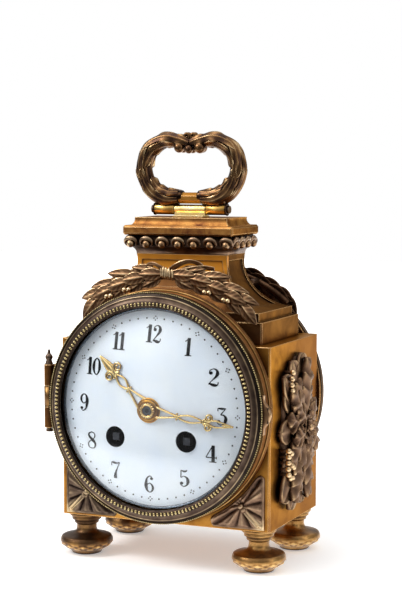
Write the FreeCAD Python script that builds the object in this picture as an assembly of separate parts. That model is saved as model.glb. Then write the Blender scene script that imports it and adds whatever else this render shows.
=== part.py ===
import FreeCAD, Part
import math
import os

# Officer's travelling clock: gilt case on four turned feet, hinged bezel and rear door,
# swinging handle, and a two-train movement with its dial and hands.
# Millimetres. X is right and Z is up. The front looks along -Y and the feet stand on Z = 0.

V = FreeCAD.Vector
os.makedirs("parts", exist_ok=True)
parts = {}

# Driving dimensions of the case
drum_radius = 47.0
drum_wall = 3.0
side_wall = 3.0
drum_bite = 0.8
case_depth = 60.6
case_rise = 27.7
case_wall = 3.0
foot_height = 18.7
foot_radius = 11.9
foot_inset = 7.9
base_thickness = 2.0
drum_floor_gap = 3.3

# Driving dimensions of the stepped top
shoulder_height = 9.5
shoulder_side_inset = 6.6
shoulder_front_inset = 7.2
step_height = 3.8
step_side_inset = 2.4
step_front_inset = 2.6
neck_rise = 18.2
neck_half_width = 22.0
neck_half_depth = 10.7
cavetto_height = 3.2
bead_row_height = 5.2
slab_height = 4.3
slab_overhang_side = 4.6
slab_overhang_front = 5.2
cap_height = 3.5
bead_count_front = 7
bead_count_side = 4

# Driving dimensions of the handle
handle_axis_rise = 3.5
handle_setback = 3.4
handle_rise = 30.9
handle_pin_radius = 1.0
knuckle_half = 7.5

# Driving dimensions of the bezel, the glass and the rear door
ring_depth = 6.2
bezel_depth = 7.0
bezel_overhang = 3.5
glass_rim = 5.2
glass_lip = 1.3
glass_rise = 7.5
glass_thickness = 1.2
hinge_half_length = 14.2
hinge_barrel_radius = 2.2
hinge_pin_radius = 1.0

# Driving dimensions of the dial and the hands
dial_clearance = 1.5
dial_bulge = 4.8
dial_thickness = 1.0
minute_hand_margin = 4.0
hour_hand_shortfall = 5.5
hour_hand_lift = 0.35
minute_hand_lift = 1.05
hand_thickness = 0.4
winding_offset = 16.7
winding_drop = 12.8

# Driving dimensions of the movement
plate_radius = 38.0
plate_thickness = 2.0
plate_gap = 24.0
running_gap = 0.05
bell_radius = 25.0

# Worked out from the driving dimensions
half_width = drum_radius + side_wall
half_depth = case_depth / 2
cavity_half_width = half_width - side_wall - drum_bite
bore = drum_radius - drum_wall
dial_radius = bore - dial_clearance
minute_hand_length = dial_radius - minute_hand_margin
hour_hand_length = minute_hand_length - hour_hand_shortfall
case_bottom = foot_height
dial_height = case_bottom + base_thickness + drum_floor_gap + drum_radius
case_top = dial_height + case_rise
case_height = case_top - case_bottom
step_bottom = case_top + shoulder_height
roof_bottom = step_bottom + step_height
roof_top = dial_height + drum_radius + neck_rise
bead_bottom = roof_top + cavetto_height
slab_bottom = bead_bottom + bead_row_height
cap_bottom = slab_bottom + slab_height
cap_top = cap_bottom + cap_height
handle_axis = cap_top + handle_axis_rise
slab_half_width = neck_half_width + slab_overhang_side
slab_half_depth = neck_half_depth + slab_overhang_front
handle_half_width = slab_half_width - handle_setback
shoulder_half_width = half_width - shoulder_side_inset
shoulder_half_depth = half_depth - shoulder_front_inset
step_half_width = shoulder_half_width - step_side_inset
step_half_depth = shoulder_half_depth - step_front_inset
ring_front = -half_depth - ring_depth
bezel_radius = drum_radius + bezel_overhang
bezel_back = ring_front - 0.2
bezel_front = bezel_back - bezel_depth
hinge_x = -bezel_radius - 2.6
hinge_y = ring_front - 0.1
hinge_z = dial_height + 2.0
plate_front = -half_depth - 3.7
gap_front = plate_front + plate_thickness
gap_back = gap_front + plate_gap
plate_back = gap_back + plate_thickness
dial_edge = bezel_back - 3.0
dial_apex = dial_edge - dial_bulge
dial_sphere = (dial_radius ** 2 + dial_bulge ** 2) / (2 * dial_bulge)


# Helpers. A place in the movement is (u, v): right of and above the dial centre, seen from the front.
def at(u, y, v):
    return V(u, y, dial_height + v)


def box(x0, x1, y0, y1, z0, z1):
    return Part.makeBox(x1 - x0, y1 - y0, z1 - z0, V(x0, y0, z0))


def block(half_x, half_y, z0, z1):
    return box(-half_x, half_x, -half_y, half_y, z0, z1)


def rod(radius, y0, y1, u=0.0, v=0.0):
    return Part.makeCylinder(radius, y1 - y0, at(u, y0, v), V(0, 1, 0))


def post(radius, z0, z1, x, y):
    return Part.makeCylinder(radius, z1 - z0, V(x, y, z0))


def prism(points, y0, y1):
    wire = Part.makePolygon([V(x, y0, z) for x, z in points + points[:1]])
    return Part.Face(wire).extrude(V(0, y1 - y0, 0))


def prism_across(points, x0, x1):
    wire = Part.makePolygon([V(x0, y, z) for y, z in points + points[:1]])
    return Part.Face(wire).extrude(V(x1 - x0, 0, 0))


def turned(profile, u=0.0, v=0.0):
    """A ring or disc turned about a line along Y, from (radius, y) points."""
    wire = Part.makePolygon([at(u + r, y, v) for r, y in profile + profile[:1]])
    return Part.Face(wire).revolve(at(u, 0, v), V(0, 1, 0), 360)


def fused(shapes):
    first = shapes[0]
    if len(shapes) == 1:
        return first
    return first.multiFuse(shapes[1:]).removeSplitter()


def mirrored(shape):
    return shape.mirror(V(0, 0, 0), V(1, 0, 0))


def turned_back(shape):
    """The same piece on the rear face, turned half a turn about the upright axis."""
    copy = shape.copy()
    copy.rotate(V(0, 0, 0), V(0, 0, 1), 180)
    return copy


def chamfered(shape, size, upright=False):
    """Small chamfers on the straight edges of a block: all, or only the upright ones."""
    edges = [e for e in shape.Edges if not upright or abs(e.tangentAt(e.FirstParameter).z) > 0.99]
    return shape.makeChamfer(size, edges)


def swept_block(bottom, top, z0, z1, upward):
    """A block with concave sides: its half width and half depth go from bottom to top."""
    def side(index, plane):
        low, high = bottom[index], top[index]
        bend = math.sqrt(0.5)
        if upward:
            mid = (high + (low - high) * (1 - bend), z1 - (z1 - z0) * bend)
        else:
            mid = (low + (high - low) * (1 - bend), z0 + (z1 - z0) * bend)
        right = Part.Arc(plane(low, z0), plane(*mid), plane(high, z1)).toShape()
        left = Part.Arc(plane(-high, z1), plane(-mid[0], mid[1]), plane(-low, z0)).toShape()
        roof = Part.makeLine(plane(high, z1), plane(-high, z1))
        floor = Part.makeLine(plane(-low, z0), plane(low, z0))
        return Part.Face(Part.Wire([right, roof, left, floor]))
    reach = 2 * max(bottom + top)
    across = side(0, lambda a, z: V(a, -reach, z)).extrude(V(0, 2 * reach, 0))
    along = side(1, lambda a, z: V(-reach, a, z)).extrude(V(2 * reach, 0, 0))
    return across.common(along)


def leaf(length, width, thickness, centre, heading, normal_tilt=0.0):
    """A pointed laurel leaf in the front view, growing from its centre point along its heading."""
    half = length / 2
    upper = Part.Arc(V(-half, 0, 0), V(0, 0, width / 2), V(half, 0, 0)).toShape()
    lower = Part.Arc(V(half, 0, 0), V(0, 0, -width / 2), V(-half, 0, 0)).toShape()
    solid = Part.Face(Part.Wire([upper, lower])).extrude(V(0, thickness, 0))
    solid.translate(V(0, -thickness / 2, 0))
    solid.rotate(V(0, 0, 0), V(0, 0, 1), normal_tilt)
    solid.rotate(V(0, 0, 0), V(0, -1, 0), heading)
    solid.translate(centre)
    return solid


# Case: a hollow box with the drum tube through it, closed below by a screwed base plate
cavity = block(cavity_half_width, half_depth - case_wall, case_bottom - 1, case_top - case_wall)
drum = rod(drum_radius, -half_depth, half_depth)
drum_bore = rod(bore, -half_depth - 1, half_depth + 1)
above_case = block(3 * half_width, 3 * half_depth, case_top, case_top + 3 * case_height)
shell = chamfered(block(half_width, half_depth, case_bottom, case_top), 0.7, upright=True)
parts["case_body"] = fused([shell.cut(cavity), drum.cut(above_case)]).cut(drum_bore)
parts["base_plate"] = block(
    cavity_half_width, half_depth - case_wall, case_bottom, case_bottom + base_thickness
)


# Stepped top: shoulder, step and concave roof in one casting that closes over the drum
def roof_panel(roof, inner, outline, along_y):
    """A sunken panel: the skin between the roof and a slightly smaller one, inside an outline."""
    reach = 2 * half_width
    cutter = prism(outline, -reach, reach) if along_y else prism_across(outline, -reach, reach)
    return roof.cut(inner).common(cutter)


panel_depth = 0.7
panel_border = 2.6
roof_low = (step_half_width - 0.8, step_half_depth - 0.6)
roof_high = (neck_half_width, neck_half_depth)
roof = swept_block(roof_low, roof_high, roof_bottom, roof_top, True)
inner_roof = swept_block(
    (roof_low[0] - panel_depth, roof_low[1] - panel_depth),
    (roof_high[0] - panel_depth, roof_high[1] - panel_depth),
    roof_bottom - panel_depth, roof_top + panel_depth, True,
)
panel_top = roof_top - panel_border
front_panel_height = 12.0
side_panel_rise = 1.3


def panel_outline(low, high, panel_bottom):
    """Corners of a panel whose upright edges keep one border from the concave edges of the roof."""
    rise = roof_top - roof_bottom
    right = []
    for i in range(7):
        z = panel_bottom + (panel_top - panel_bottom) * i / 6
        share = math.sqrt(1 - ((roof_top - z) / rise) ** 2)
        right.append((low + (high - low) * share - panel_border, z))
    return right + [(-x, z) for x, z in reversed(right)]


front_panel = panel_outline(roof_low[0], roof_high[0], panel_top - front_panel_height)
side_panel = panel_outline(roof_low[1], roof_high[1], roof_bottom + side_panel_rise)
roof = roof.cut(roof_panel(roof, inner_roof, front_panel, True))
roof = roof.cut(roof_panel(roof, inner_roof, side_panel, False))
shoulder = block(shoulder_half_width, shoulder_half_depth, case_top, step_bottom)
shoulder = chamfered(shoulder, 0.6, upright=True)
step = block(step_half_width, step_half_depth, step_bottom, roof_bottom)
drum_above = drum.common(above_case)
neck_hollow = block(neck_half_width - 5, neck_half_depth - 3.5, dial_height + drum_radius + 3, roof_top + 1)
stack = fused([shoulder, step, roof, drum_above])
parts["case_shoulder"] = stack.cut(drum_bore).cut(neck_hollow)

# Cornice: a cavetto under a row of hooded beads
bead_half_width = neck_half_width + 2.8
bead_half_depth = neck_half_depth + 2.8
hood_radius = 0.5 * bead_row_height + 0.5
bead_radius = 1.55
bead_z = bead_bottom + bead_row_height / 2 - 0.3


def hooded_bead(x, y, outward):
    hood = Part.makeCone(hood_radius, 0.7 * hood_radius, 1.6, V(x, y, bead_z), outward)
    bead = Part.makeSphere(bead_radius, V(x, y, bead_z) + outward * 1.9)
    return [hood, bead]


def along_row(count, half_length):
    pitch = 2 * half_length / count
    return [-half_length + pitch * (i + 0.5) for i in range(count)]


cornice = [
    swept_block(
        (neck_half_width, neck_half_depth), (bead_half_width, bead_half_depth), roof_top, bead_bottom, False
    ),
    block(bead_half_width, bead_half_depth, bead_bottom, slab_bottom),
]
for sign in (-1, 1):
    for x in along_row(bead_count_front, bead_half_width + 1.5):
        cornice += hooded_bead(x, sign * (bead_half_depth - 0.4), V(0, sign, 0))
    for y in along_row(bead_count_side, bead_half_depth):
        cornice += hooded_bead(sign * (bead_half_width - 0.4), y, V(sign, 0, 0))
below_slab = block(2 * half_width, 2 * half_depth, slab_bottom, slab_bottom + 10)
parts["cornice"] = fused(cornice).cut(below_slab)

# Top slab with its stepped cap
slab = chamfered(block(slab_half_width, slab_half_depth, slab_bottom, cap_bottom), 0.8)
cap = swept_block(
    (slab_half_width - 2.9, slab_half_depth - 2.7),
    (slab_half_width - 4.2, slab_half_depth - 4.0),
    cap_bottom, cap_top, True,
)
parts["top_slab"] = fused([slab, cap])

# Handle bracket: the fixed middle knuckle on its foot plate, and the pin through all knuckles
knuckle_radius = 2.6
bracket_hole = Part.makeCylinder(
    handle_pin_radius + 0.05, 2 * knuckle_half + 2, V(-knuckle_half - 1, 0, handle_axis), V(1, 0, 0)
)
bracket = fused([
    block(knuckle_half, 3.6, cap_top, cap_top + 0.7),
    block(knuckle_half, 1.5, cap_top, handle_axis),
    Part.makeCylinder(2.1, 2 * knuckle_half, V(-knuckle_half, 0, handle_axis), V(1, 0, 0)),
])
parts["handle_bracket"] = bracket.cut(bracket_hole)
handle_pin_half = knuckle_half + 10.6
pin_head = 0.9
pin_start = V(-handle_pin_half, 0, handle_axis)
parts["handle_pin"] = fused([
    Part.makeCylinder(handle_pin_radius, 2 * handle_pin_half, pin_start, V(1, 0, 0)),
    Part.makeCylinder(1.7, pin_head, V(handle_pin_half, 0, handle_axis), V(1, 0, 0)),
    Part.makeCylinder(1.7, pin_head, V(-handle_pin_half - pin_head, 0, handle_axis), V(1, 0, 0)),
])


# Handle: a heart-shaped ring of oval section, with outer knuckles, a cross bar and three hanging beads
wide = handle_half_width
tall = handle_rise
bar_rise = 0.18 * tall
# Centre line of the right half, from the scroll end at the cross bar up to the dip in the middle
handle_line = [
    (0.17, 0.19), (0.51, 0.178), (0.79, 0.265), (0.97, 0.46), (0.995, 0.67),
    (0.85, 0.88), (0.55, 1.0), (0.27, 0.985), (0.0, 0.935),
]
right_line = [V(x * wide, 0, handle_axis + z * tall) for x, z in handle_line]
left_line = [V(-p.x, 0, p.z) for p in right_line[:-1]]
ring_curve = Part.BSplineCurve()
ring_curve.interpolate(right_line + left_line[::-1])
start = ring_curve.value(ring_curve.FirstParameter)
tangent = ring_curve.tangent(ring_curve.FirstParameter)[0]
sideways = tangent.cross(V(0, 1, 0))
section = Part.Ellipse(start + V(0, 3.3, 0), start + sideways * 3.1, start).toShape()
sweep = Part.BRepOffsetAPI.MakePipeShell(Part.Wire([ring_curve.toShape()]))
sweep.setBiNormalMode(V(0, 1, 0))
sweep.add(Part.Wire([section]))
sweep.build()
sweep.makeSolid()
handle = [sweep.shape()]
handle.append(Part.makeCylinder(2.4, 0.4 * wide, V(-0.2 * wide, 0, handle_axis + bar_rise), V(1, 0, 0)))
for sign in (-1, 1):
    inner_end = sign * (knuckle_half + 0.3)
    handle.append(
        Part.makeCylinder(knuckle_radius, 10.0, V(inner_end, 0, handle_axis), V(sign, 0, 0))
    )
    strut = box(9.0, 15.0, -1.9, 1.9, handle_axis, handle_axis + bar_rise)
    handle.append(strut if sign > 0 else mirrored(strut))
berry_drop = 3.6
for x, drop in ((-4.8, 0.0), (0.0, 0.9), (4.8, 0.0)):
    handle.append(Part.makeSphere(2.3, V(x, -1.0, handle_axis + tall - berry_drop - drop)))
handle_bore = Part.makeCylinder(
    handle_pin_radius + running_gap, 2 * handle_pin_half, V(-handle_pin_half, 0, handle_axis), V(1, 0, 0)
)
parts["handle"] = fused(handle).cut(handle_bore)


# Feet: turned toupie feet with a stepped collar, each held by a screw from inside the base plate
def foot_solid(x, y):
    r = foot_radius
    h = foot_height
    points = [
        (0, 0), (0.555 * r, 0), (0.60 * r, 0.06 * h), (0.87 * r, 0.18 * h), (1.0 * r, 0.315 * h),
        (0.93 * r, 0.42 * h), (0.62 * r, 0.475 * h), (0.43 * r, 0.53 * h), (0.375 * r, 0.62 * h),
        (0.385 * r, 0.73 * h), (0.46 * r, 0.745 * h), (0.46 * r, 0.81 * h), (0.54 * r, 0.825 * h),
        (0.56 * r, 0.90 * h), (0.62 * r, 1.0 * h), (0, 1.0 * h),
    ]
    # The bulge is one smooth curve between the base and the waist
    bulge = Part.BSplineCurve()
    bulge.interpolate([V(px, 0, pz) for px, pz in points[2:9]])
    edges = [Part.makeLine(V(*a), V(*b)) for a, b in zip(
        [(px, 0, pz) for px, pz in points[:2]], [(px, 0, pz) for px, pz in points[1:3]]
    )]
    edges.append(bulge.toShape())
    rest = points[8:] + points[:1]
    edges += [Part.makeLine(V(a[0], 0, a[1]), V(b[0], 0, b[1])) for a, b in zip(rest, rest[1:])]
    solid = Part.Face(Part.Wire(edges)).revolve(V(0, 0, 0), V(0, 0, 1), 360)
    solid.translate(V(x, y, 0))
    return solid


screw_radius = 1.5
screw_depth = 6.0
foot_places = {
    "foot_front_left": (-1, -1), "foot_front_right": (1, -1),
    "foot_rear_left": (-1, 1), "foot_rear_right": (1, 1),
}
foot_screws = []
for name, (sx, sy) in foot_places.items():
    x = sx * (half_width - foot_inset)
    y = sy * (half_depth - foot_inset)
    shank = post(screw_radius, foot_height - screw_depth, foot_height + base_thickness, x, y)
    head = post(2.4, foot_height + base_thickness, foot_height + base_thickness + 1.4, x, y)
    parts[name] = foot_solid(x, y).cut(shank)
    parts["base_plate"] = parts["base_plate"].cut(shank)
    foot_screws.append(fused([shank, head]))
parts["foot_screws"] = Part.makeCompound(foot_screws)

# Front and rear drum rings with their outer hinge knuckles and the seats for the movement
knuckle_third = hinge_half_length / 3


def hinge_knuckle(y, z0, z1, leaf_y0, leaf_y1, reach):
    barrel = post(hinge_barrel_radius, z0, z1, hinge_x, y)
    arm = box(hinge_x, -reach, leaf_y0, leaf_y1, z0, z1)
    return [barrel, arm]


def outer_knuckles(y, leaf_y0, leaf_y1):
    third = knuckle_third
    low = hinge_knuckle(y, hinge_z - 3 * third, hinge_z - third, leaf_y0, leaf_y1, bore + 2)
    high = hinge_knuckle(y, hinge_z + third, hinge_z + 3 * third, leaf_y0, leaf_y1, bore + 2)
    return low + high


def hinge_bore(y):
    return post(hinge_pin_radius + running_gap, hinge_z - 20, hinge_z + 20, hinge_x, y)


seat_back = plate_front
seat_front = seat_back - 1.4
front_ring_profile = [
    (bore, -half_depth), (drum_radius + 4.4, -half_depth), (drum_radius + 4.4, -half_depth - 1.2),
    (drum_radius + 3.6, -half_depth - 2.6), (drum_radius + 2.6, -half_depth - 4.0),
    (drum_radius + 2.6, ring_front), (bore, ring_front),
]
seat_profile = [
    (plate_radius - 1.2, seat_front), (bore + 0.5, seat_front), (bore + 0.5, seat_back),
    (plate_radius - 1.2, seat_back),
]
rear_ring_profile = [(r, -y) for r, y in front_ring_profile]
front_ring = fused([turned(front_ring_profile), turned(seat_profile)] + outer_knuckles(
    hinge_y, hinge_y + 0.2, hinge_y + hinge_barrel_radius
))
tie_radius = 1.3
tie_clearance = 0.4
tie_rise = 12.0
tie_place = math.sqrt((bore - 2.8) ** 2 - tie_rise ** 2)
lug_low = dial_height + tie_rise - 4
right_lug = box(tie_place - 2.4, bore, half_depth, half_depth + 3, lug_low, lug_low + 8)
rear_lugs = [right_lug, mirrored(right_lug)]
rear_ring = fused([turned(rear_ring_profile)] + rear_lugs + outer_knuckles(
    -hinge_y, -hinge_y - hinge_barrel_radius, -hinge_y - 0.2
))
ties = []
for sign in (-1, 1):
    shank = rod(tie_radius, seat_back - 1.4, half_depth + 3, sign * tie_place, tie_rise)
    head = rod(2.2, half_depth + 3, half_depth + 4.6, sign * tie_place, tie_rise)
    front_ring = front_ring.cut(shank)
    rear_ring = rear_ring.cut(shank)
    ties.append(fused([shank, head]))
parts["front_drum_ring"] = front_ring.cut(hinge_bore(hinge_y))
parts["rear_drum_ring"] = rear_ring.cut(hinge_bore(-hinge_y))
parts["tie_screws"] = Part.makeCompound(ties)


def hinge_pin(y):
    z0 = hinge_z - hinge_half_length - 0.6
    z1 = hinge_z + hinge_half_length
    return fused([
        post(hinge_pin_radius, z0, z1 + 1, hinge_x, y),
        Part.makeCone(1.9, 1.2, 2.0, V(hinge_x, y, z1)),
        Part.makeSphere(1.7, V(hinge_x, y, z1 + 3.2)),
        Part.makeCone(0.9, 0.4, 2.2, V(hinge_x, y, z1 + 4.5)),
        post(1.6, z0 - 1.2, z0, hinge_x, y),
    ])


parts["bezel_hinge_pin"] = hinge_pin(hinge_y)
parts["rear_hinge_pin"] = hinge_pin(-hinge_y)

# Bezel: a conical ring between two pearl rims, with the glass held in a rebate by a retaining ring
glass_edge = bezel_radius - glass_rim
aperture = glass_edge - glass_lip
rebate = bezel_front + 1.5
bezel_profile = [
    (bezel_radius - 3.4, bezel_back), (bezel_radius - 0.4, bezel_back), (bezel_radius, bezel_back - 0.6),
    (bezel_radius, bezel_back - 3.8), (bezel_radius - 1.0, bezel_back - 4.4),
    (bezel_radius - 4.1, bezel_front + 0.5), (bezel_radius - 4.6, bezel_front),
    (bezel_radius - 5.4, bezel_front + 0.1), (aperture, rebate - 1.0), (aperture, rebate - 0.65),
    (glass_edge + 0.1, rebate), (glass_edge + 0.1, rebate + 1.2), (bezel_radius - 3.4, rebate + 1.2),
]
middle_knuckle = hinge_knuckle(
    hinge_y, hinge_z - knuckle_third + 0.3, hinge_z + knuckle_third - 0.3,
    bezel_back - 2.0, bezel_back, bezel_radius - 2,
)
tab = prism([
    (bezel_radius - 1.5, dial_height - 5), (bezel_radius + 2.2, dial_height - 3.2),
    (bezel_radius + 2.2, dial_height + 3.2), (bezel_radius - 1.5, dial_height + 5),
], bezel_back - 2.6, bezel_back)
parts["bezel_ring"] = fused([turned(bezel_profile)] + middle_knuckle + [tab]).cut(hinge_bore(hinge_y))
parts["glass_retainer"] = turned([
    (glass_edge + 0.1, rebate + 1.2), (bezel_radius - 3.4, rebate + 1.2),
    (bezel_radius - 3.4, rebate + 2.1), (glass_edge - 0.3, rebate + 2.1), (glass_edge - 0.3, rebate + 1.3),
    (glass_edge + 0.1, rebate + 1.3),
])
glass_front_y = rebate
glass_sphere = (glass_edge ** 2 + glass_rise ** 2) / (2 * glass_rise)
glass_centre = glass_front_y - glass_rise + glass_sphere
glass_outer = Part.makeSphere(glass_sphere, at(0, glass_centre, 0))
glass_inner = Part.makeSphere(glass_sphere - glass_thickness, at(0, glass_centre, 0))
parts["bezel_glass"] = glass_outer.cut(glass_inner).common(
    rod(glass_edge, glass_front_y - glass_rise - 5, rebate + 1.2)
)

# Rear door: a domed disc with a moulded rim, a knob and its own hinge knuckle
door_back = -bezel_back
door_dome = 4.2
door_wall = 1.3
rim_inner = bezel_radius - 5.4
door_sphere = (rim_inner ** 2 + door_dome ** 2) / (2 * door_dome)
door_centre = door_back + door_dome - door_sphere
door_rim = turned([
    (rim_inner - 0.8, door_back), (bezel_radius - 0.4, door_back), (bezel_radius, door_back + 0.6),
    (bezel_radius, door_back + 1.6), (bezel_radius - 1.2, door_back + 2.4),
    (bezel_radius - 4.2, door_back + 2.4), (rim_inner, door_back + 1.4), (rim_inner - 0.8, door_back + 1.4),
])
door_skin = Part.makeSphere(door_sphere + door_wall, at(0, door_centre, 0)).cut(
    Part.makeSphere(door_sphere, at(0, door_centre, 0)))
door_skin = door_skin.common(rod(rim_inner, door_back, door_back + 3 * door_dome))
door_knuckle = hinge_knuckle(
    -hinge_y, hinge_z - knuckle_third + 0.3, hinge_z + knuckle_third - 0.3,
    door_back, door_back + 2.0, bezel_radius - 2,
)
knob_place = rim_inner - 4
knob_reach = 7.2
door_knob = [
    rod(1.3, door_back + 1.6, door_back + knob_reach, knob_place),
    Part.makeCone(2.6, 1.4, 1.6, at(knob_place, door_back + 1.6, 0), V(0, 1, 0)),
    Part.makeSphere(2.6, at(knob_place, door_back + knob_reach + 2.4, 0)),
]
parts["rear_door"] = fused([door_rim, door_skin] + door_knuckle + door_knob).cut(hinge_bore(-hinge_y))


# Laurel garland: overlapping leaves on an arc over the drum, with a bow at the top and studs to the roof
garland_radius = drum_radius + 9.3
garland_y = -half_depth + 6.2
garland_span = 46.0
leaf_pairs = 7


def garland_point(angle, offset=0.0, y=0.0):
    a = math.radians(90 - angle)
    return at((garland_radius + offset) * math.cos(a), garland_y + y, (garland_radius + offset) * math.sin(a))


def garland():
    right = []
    for i in range(leaf_pairs):
        angle = 5.0 + (garland_span - 5.0) * i / leaf_pairs
        for side in (-1, 1):
            right.append(leaf(
                10.5, 4.6, 2.6, garland_point(angle + 3.0, 1.9 * side, -0.6), -angle - 4 + 18 * side, 10.0
            ))
    right.append(leaf(11.0, 4.8, 2.6, garland_point(garland_span + 1.5), -garland_span - 12, 10.0))
    section = Part.Wire([Part.Circle(garland_point(-garland_span), V(0, 0, 1), 1.9).toShape()])
    section.rotate(garland_point(-garland_span), V(0, 1, 0), -garland_span)
    section.rotate(garland_point(-garland_span), V(0, 1, 0), 90)
    stem = Part.Face(section).revolve(at(0, garland_y, 0), V(0, 1, 0), 2 * garland_span)
    bow = [
        leaf(9.0, 6.0, 3.0, at(4.0, garland_y - 1.2, garland_radius + 1.8), 25, 0),
        leaf(9.0, 6.0, 3.0, at(-4.0, garland_y - 1.2, garland_radius + 1.8), -25, 0),
        Part.makeSphere(2.9, at(0, garland_y - 1.2, garland_radius)),
    ]
    studs = [
        Part.makeCylinder(1.5, 20, garland_point(angle, 0, 0), V(0, 1, 0)) for angle in (-24, 0, 24)
    ]
    swag = fused([stem] + right + [mirrored(s) for s in right] + bow + studs)
    return swag.cut(parts["case_shoulder"]).Solids


def largest(solids):
    return max(solids, key=lambda s: s.Volume)


parts["garland_front"] = largest(garland())
parts["garland_rear"] = turned_back(parts["garland_front"])


# Side mounts: an oval leaf cartouche with a raised boss on each side of the case
mount_half_depth = 18.5
mount_half_height = 33.0
mount_rise = 40.9
mount_z = case_bottom + mount_rise


def side_mount():
    petals = 14
    pieces = []
    for i in range(petals):
        a = 2 * math.pi * i / petals
        y = 0.72 * mount_half_depth * math.cos(a)
        z = 0.76 * mount_half_height * math.sin(a)
        heading = math.degrees(math.atan2(math.sin(a) * 1.25, math.cos(a)))
        pieces.append(leaf(14.0, 7.0, 2.4, V(y, -1.2, z), heading))
    oval = Part.Ellipse(V(0, 0, 0), 0.80 * mount_half_height, 0.74 * mount_half_depth).toShape()
    plate = Part.Face(Part.Wire([oval])).extrude(V(0, 0, 1.4))
    plate.rotate(V(0, 0, 0), V(0, 0, 1), 90)
    plate.rotate(V(0, 0, 0), V(1, 0, 0), 90)
    rosette = Part.makeSphere(9.5, V(0, 4.4, 0))
    above_face = Part.makeBox(200, 60, 200, V(-100, -60, -100))
    relief = fused([plate] + pieces + [rosette.common(above_face)])
    relief.rotate(V(0, 0, 0), V(0, 0, 1), 90)
    relief.translate(V(half_width, 0, mount_z))
    return relief


parts["side_mount_right"] = side_mount()
parts["side_mount_left"] = mirrored(parts["side_mount_right"])


# Spandrels: a fan of leaves filling each lower corner of the front between the drum ring and the edges
def spandrel():
    margin = 2.2
    right = half_width - margin
    low = case_bottom + 0.8
    reach = math.hypot(right, dial_height - low) - drum_radius - 4.8
    corner = [(right, low), (right, low + 1.327 * reach), (right - 1.381 * reach, low)]
    face = -half_depth
    plate = prism(corner, face - 1.3, face)
    origin = V(right - 2.5, face - 1.2, low + 2.5)
    ribs = []
    for heading, reach in ((97, 20.0), (116, 15.5), (135, 14.0), (154, 15.5), (173, 20.0)):
        a = math.radians(heading)
        centre = origin + V(math.cos(a), 0, math.sin(a)) * (reach / 2)
        ribs.append(leaf(reach, 4.2, 2.6, centre, heading))
    bead = Part.makeSphere(2.0, V(right - 10.0, face - 2.2, low + 9.4))
    in_front = box(-3 * half_width, 3 * half_width, face - 20, face, -50, 300)
    clear = rod(drum_radius + 4.8, -3 * half_depth, 3 * half_depth)
    solid = fused([plate] + ribs + [bead]).common(in_front).cut(clear)
    return largest(solid.Solids)


parts["spandrel_right"] = spandrel()
parts["spandrel_left"] = mirrored(parts["spandrel_right"])


# Dial: domed enamel with the centre hole and two winding holes
winding_places = {"going": (winding_offset, -winding_drop), "strike": (-winding_offset, -winding_drop)}
dial_centre_y = dial_apex + dial_sphere
dial_shell = Part.makeSphere(dial_sphere, at(0, dial_centre_y, 0)).cut(
    Part.makeSphere(dial_sphere - dial_thickness, at(0, dial_centre_y, 0))
)
dial = dial_shell.common(rod(dial_radius, dial_apex - 2, dial_edge + 2))
dial_pipe = rod(3.1, dial_apex - 3, dial_edge + 3)
dial = dial.cut(dial_pipe)
behind_dial = Part.makeSphere(dial_sphere - dial_thickness / 2, at(0, dial_centre_y, 0))
for angle in (90, 215, 325):
    foot_u = 30 * math.cos(math.radians(angle))
    foot_v = 30 * math.sin(math.radians(angle))
    dial = dial.fuse(rod(1.2, dial_apex, plate_front, foot_u, foot_v).common(behind_dial))
for u, v in winding_places.values():
    dial = dial.cut(rod(4.65, dial_apex - 3, dial_edge + 3, u, v))
parts["dial"] = dial.removeSplitter()


# Trains. Each wheel has a tooth count and a module; arbors are placed by the sums of pitch radii.
barrel_module = 0.40
barrel_teeth = 80
second_pinion = 12
second_module = 0.35
second_teeth = 72
centre_pinion = 10
centre_module = 0.32
centre_teeth = 64
third_pinion = 8
third_module = 0.30
third_teeth = 60
fourth_pinion = 8
fourth_module = 0.25
fourth_teeth = 70
escape_pinion = 7
pin_pinion = 10
pin_module = 0.30
pin_teeth = 60
fly_pinion = 7
cannon_teeth = 14
minute_teeth = 42
minute_pinion = 12
hour_teeth = 48
motion_distance = 11.2


def gear_points(teeth, module, phase, wheel):
    """Outline of a wheel or pinion, as (right, up) about its own centre. Leaves are thinner than teeth."""
    addendum, root_share, tip_share = (0.75, 0.62, 0.16) if wheel else (0.60, 0.50, 0.14)
    pitch_radius = teeth * module / 2
    half = math.pi / teeth
    corners = (
        (pitch_radius - 1.25 * module, -root_share), (pitch_radius + addendum * module, -tip_share),
        (pitch_radius + addendum * module, tip_share), (pitch_radius - 1.25 * module, root_share),
    )
    points = []
    for i in range(teeth):
        for radius, share in corners:
            a = phase + 2 * half * i + share * half
            points.append((radius * math.cos(a), radius * math.sin(a)))
    return points


def gear(teeth, module, phase, wheel, place, y0, y1):
    u, v = place
    points = gear_points(teeth, module, phase, wheel)
    return prism([(u + a, dial_height + v + b) for a, b in points], y0, y1)


def spoked(wheel, radius, place, y0, y1):
    """Cross a wheel out: four windows between rim, hub and spokes."""
    for k in range(4):
        a = math.pi / 4 + k * math.pi / 2
        window = rod(0.34 * radius, y0 - 1, y1 + 1, place[0] + 0.52 * radius * math.cos(a),
                     place[1] + 0.52 * radius * math.sin(a))
        wheel = wheel.cut(window)
    return wheel


def distance(module, first, second):
    return module * (first + second) / 2


def away(place, length, angle):
    a = math.radians(angle)
    return (place[0] + length * math.cos(a), place[1] + length * math.sin(a))


def direction(start, end):
    return math.atan2(end[1] - start[1], end[0] - start[0])


def meeting(first, first_length, second, second_length, side):
    """The place at given distances from two others, on one side of the line between them."""
    span = math.dist(first, second)
    along = (first_length ** 2 - second_length ** 2 + span ** 2) / (2 * span)
    offset = side * math.sqrt(first_length ** 2 - along ** 2)
    a = direction(first, second)
    return (
        first[0] + along * math.cos(a) - offset * math.sin(a),
        first[1] + along * math.sin(a) + offset * math.cos(a),
    )


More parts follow.
